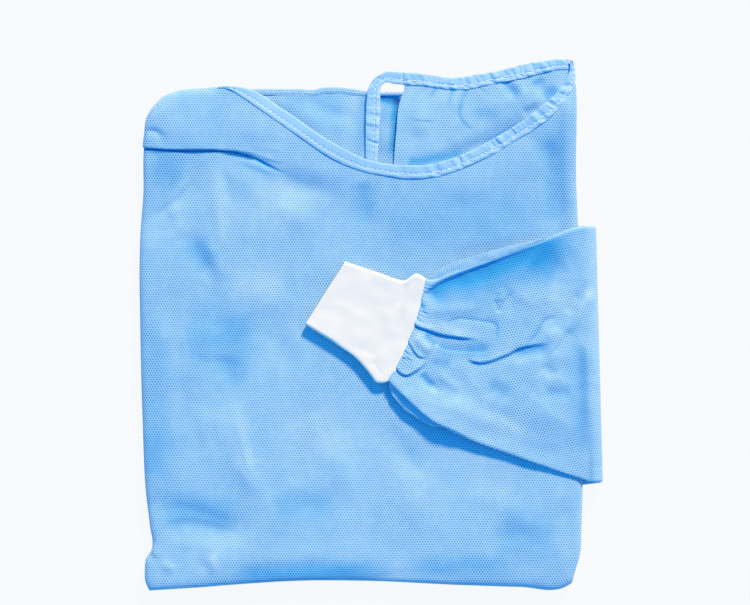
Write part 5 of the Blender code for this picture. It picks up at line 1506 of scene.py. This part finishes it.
SLEEVE_CREASES = (
    bank(-3.0, 11.0, (558, 239), (540, 247), (519, 254), (500, 261.5), (481, 269), (460, 277),
         (439, 286), (422, 299), fade=(0.35, 0.08)),
    soft(-1.4, 12.0, (522, 264), (541, 270), (557, 268), (567, 262)),
    sharp(-1.6, 1.6, (415, 300), (420, 305), (426, 310), fade=(0.1, 0.4)),
    sharp(-1.0, 1.3, (421, 311.5), (424, 313.5), (428, 316), fade=(0.2, 0.4)),
    sharp(-1.0, 1.3, (412.5, 319.5), (416, 318.7), (420, 318), fade=(0.1, 0.4)),
    lap(1.5, 4.5, (407, 321.5), (411, 324), (422, 328.8), (430, 331.3), (441.5, 335), (453, 337),
        (465, 338.5), (481, 339.4), fade=(0.05, 0.3)),
    sharp(-0.9, 1.8, (437.7, 320), (447, 322), (457, 319), (470, 319.6), (480, 321), (487.7, 322),
          (495.4, 325), (496.5, 336), (493.5, 348), fade=(0.2, 0.2)),
    soft(1.0, 5.0, (418, 314), (440, 311), (470, 309), (488, 306)),
    bank(-1.2, 7.0, (424, 331), (429, 337.5), (436, 344.5), (444, 349), (457, 351), (472, 351.5),
         (484, 351), (492, 346), fade=(0.15, 0.15)),
    soft(2.0, 4.5, (412, 334), (421, 343), (433, 354)),
    lap(1.3, 2.6, (405, 339), (407, 341), (411, 347), (415.6, 354), (418.5, 356.7), (428, 358.3),
        fade=(0.1, 0.3)),
    lap(0.9, 2.0, (398, 349), (403, 351), (411, 355.5), fade=(0.1, 0.4)),
    lap(0.8, 2.0, (401, 357.5), (407, 358.5), (413, 363), fade=(0.1, 0.4)),
    lap(1.4, 3.5, (389, 360), (392.5, 363.5), (398, 371), (402, 374.5), (406, 375.6), (410, 374.5),
        (414.6, 372), (421, 367.3), (427, 360.6), fade=(0.12, 0.25)),
    soft(-1.6, 3.5, (420, 372), (424, 378), (432, 386), (441, 394), fade=(0.2, 0.4)),
    soft(-0.8, 4.0, (428, 362), (440, 364), (453, 366)),
    soft(1.2, 4.5, (434, 372), (448, 382), (462, 392)),
    sharp(-1.1, 1.6, (493.5, 299), (496, 306), (498.5, 313.5), fade=(0.3, 0.15)),
    sharp(-1.1, 1.6, (498.5, 313.5), (503, 304), (512.7, 292), fade=(0.15, 0.3)),
    soft(0.8, 3.6, (498, 288), (500, 296), (499.5, 303)),
    lap(1.2, 5.0, (464.6, 357.7), (470.4, 361.2), (478, 363), (487.7, 362), (497.3, 358.7),
        (507, 354.8), (518.5, 349), (530, 346), (545, 344), (556, 340), fade=(0.12, 0.35)),
    soft(-1.4, 6.0, (510, 357), (530, 352), (552, 349)),
    sharp(-1.3, 2.0, (522, 348), (534, 336.5), (545.4, 320), (553, 318), (562, 319)),
    soft(0.8, 5.0, (545, 338), (553, 334), (561, 330)),
    soft(1.9, 3.0, (595, 283), (587.7, 294), (580, 309.6), (574, 323), (567.5, 337),
         fade=(0.2, 0.3)),
    soft(-1.0, 4.0, (580, 292), (572, 304), (566, 316)),
    sharp(-1.4, 2.0, (571, 328), (568, 332), (560, 345), (551, 358), fade=(0.2, 0.3)),
    soft(-1.6, 5.0, (577, 336), (579, 384), (580, 430), (579, 465), fade=(0.2, 0.3)),
    soft(0.9, 5.0, (588, 330), (590, 380), (590, 430)),
    soft(-1.2, 7.0, (484, 386), (498, 391), (510, 397)),
    soft(-1.2, 5.0, (541, 364), (549, 372), (556, 379)),
    soft(-1.1, 5.0, (541, 392), (557, 394), (572, 391)),
    soft(1.2, 9.0, (440, 398), (468, 412), (508, 428)),
    soft(-0.9, 7.0, (470, 404), (502, 416), (540, 436)),
    soft(0.9, 9.0, (520, 402), (552, 418), (584, 440)),
    soft(-0.8, 8.0, (500, 440), (540, 452), (580, 466)),
    soft(1.1, 8.0, (505, 292), (530, 298), (560, 296)),
)
# Painted shade and painted light on the sleeve: the dark band below the seam strip, shade along
# the laps and pockets, and paler ridges
SLEEVE_PAINTED_SHADE_AND_LIGHT = (
    bank(0.62, 15.0, (592, 230), (566, 237), (540, 246), (519, 253.5), (500, 260.5), (481, 268.5),
         (460, 276), (439, 286), (422, 299), fade=(0.3, 0.08)),
    soft(0.2, 20.0, (560, 262), (515, 276), (482, 286), (450, 296), fade=(0.3, 0.2)),
    soft(0.24, 14.0, (530, 256), (547, 268), (560, 276)),
    soft(0.12, 14.0, (540, 258), (560, 262), (585, 256)),
    soft(0.45, 2.6, (424, 333), (429, 339), (436, 346.5), fade=(0.2, 0.2)),
    soft(0.32, 5.0, (436, 345), (444, 349), (457, 351), (472, 351.5), (484, 350), (490, 347),
         fade=(0.1, 0.15)),
    soft(0.1, 6.0, (462, 346), (476, 347), (488, 344)),
    soft(0.75, 1.2, (407, 322.5), (411, 325), (422, 329.8), (430, 332.3), (441.5, 336), (453, 338),
         (465, 339.5), (481, 340.4), fade=(0.05, 0.3)),
    soft(0.7, 1.2, (464.6, 358.7), (470.4, 362.2), (478, 364), (487.7, 363), (497.3, 359.7),
         (507, 355.8), (518.5, 350), (530, 347), (545, 345), (556, 341), fade=(0.12, 0.35)),
    soft(0.45, 1.2, (389, 361), (392.5, 364.5), (398, 372), (402, 375.5), (406, 376.6),
         (410, 375.5), (414.6, 373), (421, 368.3), (427, 361.6), fade=(0.12, 0.25)),
    soft(0.25, 1.4, (437.7, 320), (447, 322), (457, 319), (470, 319.6), (480, 321), (487.7, 322),
         (495.4, 325), (496.5, 336), (493.5, 348), fade=(0.2, 0.2)),
    soft(0.28, 1.3, (522, 348), (534, 336.5), (545.4, 320), (553, 318), (562, 319),
         fade=(0.2, 0.3)),
    soft(0.5, 3.0, (420, 372), (425, 379), (434, 387), fade=(0.2, 0.3)),
    soft(0.22, 4.5, (428, 362), (440, 364), (453, 366)),
    soft(0.35, 4.0, (510, 353), (530, 350), (551, 347)),
    soft(0.5, 1.8, (416, 301), (420, 305.5), (426, 310), fade=(0.1, 0.3)),
    soft(0.26, 8.0, (579, 336), (579, 400), (579, 465), fade=(0.2, 0.3)),
    soft(0.18, 9.0, (484, 387), (498, 391), (510, 396)),
    soft(0.16, 6.0, (541, 392), (557, 394), (572, 391)),
    soft(-0.28, 5.0, (413, 335), (422, 345), (432, 354)),
    soft(-0.28, 3.0, (417, 321), (440, 328), (472, 332), fade=(0.2, 0.3)),
    soft(-0.24, 9.0, (500, 298), (540, 304), (585, 292)),
    soft(-0.26, 3.5, (594, 284), (586, 297), (574, 322), fade=(0.2, 0.3)),
    soft(-0.12, 6.0, (545, 338), (553, 334), (561, 330)),
    soft(-0.18, 20.0, (450, 405), (490, 425), (540, 445)),
)
# Height of the sleeve's lower edge as a share, at shares of its length: flatter to the right
PRESSED_EDGE = ((0.0, 1.1), (0.12, 1.35), (0.31, 1.4), (0.42, 1.0), (0.5, 0.92), (0.59, 0.76),
                (0.68, 0.66), (0.77, 0.58), (0.86, 0.45), (0.95, 0.32), (1.0, 0.28))
PRESSED_FROM = 0.70
TUCKED_IN = 4.0
TUCKED_IN_SHARE = 0.42
print(len(SLEEVE_CREASES), "creases on the sleeve")

# %% Shape of the sleeve
# Lower edge where the under layer shows: distance past the top layer's edge, share of the
# reach, level above the tube's middle
Z_EDGE = (
    (-3.2, 0.0, 2.8), (-1.5, 0.0, 2.72), (-0.5, 0.0, 2.35), (0.0, 0.0, 1.75), (-0.3, 0.0, 1.15),
    (-1.3, 0.0, 0.8), (-3.0, 0.0, 0.65), (-4.0, 0.0, 0.3), (-3.4, 0.0, -0.1), (-1.5, 0.0, -0.3),
    (-1.0, 0.5, -0.45), (-2.0, 0.8, -0.7), (-1.2, 1.0, -0.85), (-0.4, 1.0, -1.2),
    (0.0, 1.0, -1.8), (-0.5, 1.0, -2.45), (-1.6, 1.0, -2.8),
)
Z_HALF = 2.8
Z_FULL_REACH = 4.0
Z_TOP_POINTS = 4
ARC_POINTS = 7
SEAM_GATHERS = 30.0
SEAM_GATHER_HEIGHT = 0.6
SEAM_GATHER_REACH = 9.0


def tube_section(width, reach, thickness):
    """Return a flat tube's ring: distances across, levels, and how much of it is top layer."""
    half = thickness / 2.0
    angle = np.linspace(0.0, np.pi / 2.0, ARC_POINTS)
    arc, rise = EDGE_ROUND * (1.0 - np.cos(angle)), np.sin(angle)
    edge = np.array(Z_EDGE)
    turn = np.linspace(np.pi / 2.0, -np.pi / 2.0, len(edge))
    plain = np.stack((EDGE_ROUND * (np.cos(turn) - 1.0), np.sin(turn) * half), axis=1)
    lapped = np.stack((edge[:, 0] + edge[:, 1] * reach, edge[:, 2] * half / Z_HALF), axis=1)
    share = smoothstep(reach, 0.0, Z_FULL_REACH)
    lower_edge = plain * (1.0 - share) + lapped * share
    top = np.linspace(EDGE_ROUND, width + lower_edge[0, 0], UPPER_POINTS)[1:-1]
    under = np.linspace(width + lower_edge[-1, 0], EDGE_ROUND, LOWER_POINTS)[1:-1]
    places = np.concatenate((arc, top, width + lower_edge[:, 0], under, arc[::-1]))
    levels = np.concatenate((rise * half, top * 0.0 + half, lower_edge[:, 1], under * 0.0 - half,
                             -rise[::-1] * half))
    on_top = np.zeros(len(places))
    on_top[:len(arc) + len(top) + Z_TOP_POINTS] = 1.0
    return places, levels, on_top


def section_frame(upper_end, lower_end):
    """Return a section's width, its direction and the way that the tube runs past it."""
    run = np.array(lower_end) - np.array(upper_end)
    width = np.linalg.norm(run)
    direction = run / width
    return width, direction, np.array((-direction[1], direction[0]))


def tube_ring(upper_end, lower_end, bow, reach, thickness):
    """Return a ring: its plan, shares of the width, levels, and how much each point creases."""
    width, direction, onward = section_frame(upper_end, lower_end)
    places, levels, on_top = tube_section(width, reach, thickness)
    share = np.clip(places / width, 0.0, 1.0)
    plan = np.array(upper_end) + direction * places[:, None] \
        + onward * (bow * 4.0 * share * (1.0 - share))[:, None]
    return plan, share, levels, on_top * smoothstep(levels / thickness * 2.0)


def sleeve_relief(plan, share, distance):
    """Return the relief of the sleeve's top layer, gathered close to the cuff."""
    relief = creases(plan, SLEEVE_CREASES)
    relief += crumple(plan, 51, 0.2, 70.0, 16.0) + folded_waves(plan, 52, 0.25, 80.0, 26.0)
    turns = SEAM_GATHERS * (share + 0.012 * np.sin(23.0 * share) + 0.02 * np.sin(9.0 * share))
    swing = 0.6 + 0.4 * np.sin(17.0 * share + 1.0)
    edge = smoothstep(np.minimum(share, 1.0 - share) * 12.0)
    pull = SEAM_GATHER_HEIGHT * np.exp(-distance / SEAM_GATHER_REACH) * swing * edge
    return relief + pull * np.cos(2.0 * np.pi * turns)


# %% Sleeve
stations = np.linspace(0.0, 1.0, SLEEVE_STATIONS) ** STATION_CROWDING
rings = []
for station, upper_end, lower_end in zip(stations, along(SLEEVE_UPPER, stations),
                                         along(SLEEVE_LOWER, stations)):
    reach = np.interp(station, *zip(*UNDER_LAYER))
    bow = SEAM_BOW * max(1.0 - station / SEAM_BOW_REACH, 0.0)
    plan, share, levels, weight = tube_ring(upper_end, lower_end, bow, reach, SLEEVE_THICKNESS)
    distance = station * (UPPER_LENGTH + LOWER_EXTRA * share)
    start = smoothstep(distance, 0.0, TUCKED_IN)
    levels = levels * (TUCKED_IN_SHARE + (1.0 - TUCKED_IN_SHARE) * start)
    lift = SLEEVE_LIFT * share ** 2 * (1.0 - smoothstep(station, *SLEEVE_LIFT_FADE))
    relief = sleeve_relief(plan, share, distance) * weight * start
    pressed = 1.0 - (1.0 - np.interp(station, *zip(*PRESSED_EDGE))) \
        * smoothstep(share, PRESSED_FROM, 1.0)
    rings.append(raised(plan, base_height(plan)
                        + (SLEEVE_LEVEL + lift + levels + relief) * pressed))
top_middle = BODY_HEIGHT + SLEEVE_LEVEL
turn_radius = (top_middle - BACK_SLEEVE_THICKNESS / 2.0) / 2.0
turns = [(np.pi * k / FOLD_STEPS, 0.0) for k in range(1, FOLD_STEPS + 1)]
turns += [(np.pi, BACK_REACH * k / BACK_STEPS) for k in range(1, BACK_STEPS + 1)]
upper_end, lower_end = np.array((SLEEVE_UPPER[-1], SLEEVE_LOWER[-1]))
direction = section_frame(upper_end, lower_end)[1]
last_relief = rings[-1][:, 2] - (top_middle + levels)
for number, (angle, step) in enumerate(turns):
    spread_end = lower_end + direction * BACK_SLEEVE_SPREAD * (number + 1) / len(turns)
    thickness = SLEEVE_THICKNESS + (BACK_SLEEVE_THICKNESS - SLEEVE_THICKNESS) * angle / np.pi
    plan, _, levels, _ = tube_ring(upper_end, spread_end, 0.0, 0.0, thickness)
    onward = section_frame(upper_end, spread_end)[2]
    radius = turn_radius + levels + last_relief * max(1.0 - angle / RELIEF_TURN, 0.0)
    plan = plan + onward * (radius * np.sin(angle) - step)[:, None]
    rings.append(raised(plan, top_middle - turn_radius + radius * np.cos(angle)))
rings = closed(np.array(rings))
travel = travelled(rings)
# On the cutting plan the turned part is laid out flat, and the cloth's grain is a little oblique.
GRAIN = np.radians(10.0)
spread = rings[..., :2].copy()
spread[SLEEVE_STATIONS:] = spread[SLEEVE_STATIONS - 1] + onward \
    * (travel[SLEEVE_STATIONS:] - travel[SLEEVE_STATIONS - 1])[..., None]
sleeve_plan = spread @ np.array(((np.cos(GRAIN), -np.sin(GRAIN)),
                                 (np.sin(GRAIN), np.cos(GRAIN))))
# Its tone attribute paints the sleeve's shade and light into its colour
sleeve = shell("right_sleeve_cloth", rings, sleeve_plan, BLUE_CLOTH, SLEEVE_CLOTH, ring=True,
               tone=PAINTED_LIGHT_AND_SHADE_SHARE * creases(spread, SLEEVE_PAINTED_SHADE_AND_LIGHT))
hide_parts("right_sleeve")
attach(sleeve, "root")

# %% [markdown]
# ## The sleeve's welded seam
#
# The sleeve is closed by one long seam that is welded with ultrasound, not sewn. Its allowance
# stands out as a narrow stiff strip along the upper edge.

# %% Seam flange
FLANGE = ((0.03, 1.5), (0.09, 6.0), (0.2, 8.0), (0.45, 7.0), (0.62, 5.0), (0.76, 1.5))
FLANGE_ROWS, FLANGE_COLUMNS = 15, 190
FLANGE_LENGTH, FLANGE_WIDTH = 130.0, 8.0
FLANGE_LIFT, FLANGE_BULGE = 0.5, 0.35
FLANGE_CLOTH = 0.9
flange_shares = np.linspace(FLANGE[0][0], FLANGE[-1][0], FLANGE_COLUMNS)
edge = along(SLEEVE_UPPER, flange_shares)
widths = np.interp(flange_shares, *zip(*FLANGE))
slope = np.gradient(edge, axis=0)
outward = unit(np.stack((-slope[:, 1], slope[:, 0]), axis=1))
parts = np.linspace(0.0, 1.0, FLANGE_ROWS)[:, None]
plan = edge + outward * (widths * parts)[..., None]
height = base_height(plan) + SLEEVE_LEVEL + FLANGE_LIFT + FLANGE_BULGE * np.sin(parts * np.pi) \
    + crumple(plan, 61, 0.15, 22.0, 6.0)
flange_plan = np.stack(np.broadcast_arrays(np.linspace(0.0, FLANGE_LENGTH, FLANGE_COLUMNS),
                                           parts * FLANGE_WIDTH), axis=-1)
flange = shell("sleeve_seam_strip", raised(plan, height), flange_plan, BLUE_CLOTH, FLANGE_CLOTH)
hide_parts("sleeve_seam_flange")
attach(flange, "root")

# %% [markdown]
# ## The knit cuff
#
# The cuff is a short tube of fine white knit. Its seam to the sleeve is wider than its opening,
# and the spare width stands out as a small ear at each end of the seam.

# %% Cuff
# Both ends of a section of the tube, x and y, and how far its middle bows towards the sleeve
CUFF_SECTIONS = (
    (-22.5, 55.0, -57.5, 0.0, 0.0), (-20.5, 54.3, -55.5, -1.3, 0.0),
    (-6.0, 49.3, -40.5, -10.5, 0.3), (11.5, 43.5, -24.5, -21.0, 0.8),
    (21.0, 40.0, -14.0, -28.5, 1.5), (29.5, 38.5, -5.0, -38.5, 2.4),
    (34.5, 42.0, 0.6, -45.7, 3.2), (38.5, 44.4, 4.4, -50.4, 3.8),
    (42.0, 43.8, 8.9, -50.9, 4.2),
)
CUFF_UNDER_SEAM = 2.5
CUFF_CLOTH = 1.1
CUFF_STATIONS = 96
CUFF_CREASES = (
    soft(-0.14, 4.0, (370, 280), (374, 284), (379, 287)),
    soft(-0.45, 3.0, (407, 281), (403, 292), (396, 310)),
    soft(0.45, 4.0, (412, 279), (409, 296), (401, 318)),
    sharp(-0.45, 3.0, (372, 359), (376, 367), (382, 376), fade=(0.3, 0.2)),
    soft(-0.4, 4.0, (352, 346), (366, 352), (380, 356)),
    soft(0.3, 5.0, (330, 300), (352, 312), (378, 322)),
)
onward = section_frame(SLEEVE_UPPER[0], SLEEVE_LOWER[0])[2]
last = np.array((SLEEVE_UPPER[0], SLEEVE_LOWER[0])) + onward * CUFF_UNDER_SEAM
cuff_table = list(CUFF_SECTIONS) + [(*last.ravel(), SEAM_BOW)]
rings = []
for *ends, bow in along(cuff_table, np.linspace(0.0, 1.0, CUFF_STATIONS)):
    plan, share, levels, weight = tube_ring(ends[:2], ends[2:], bow, 0.0, CUFF_THICKNESS)
    middle = base_height(plan) + SLEEVE_LEVEL + SLEEVE_LIFT * share ** 2
    relief = creases(plan, CUFF_CREASES) + crumple(plan, 71, 0.12, 40.0, 12.0)
    rings.append(raised(plan, middle + levels + relief * weight))
rings = closed(np.array(rings))
travel = travelled(rings)
girth = np.broadcast_to(travelled(rings[0, :, :2]), travel.shape)
cuff = shell("knit_cuff_tube", rings, np.stack((travel, girth), axis=-1), KNIT, CUFF_CLOTH,
             ring=True)
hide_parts("knit_cuff")
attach(cuff, "root")
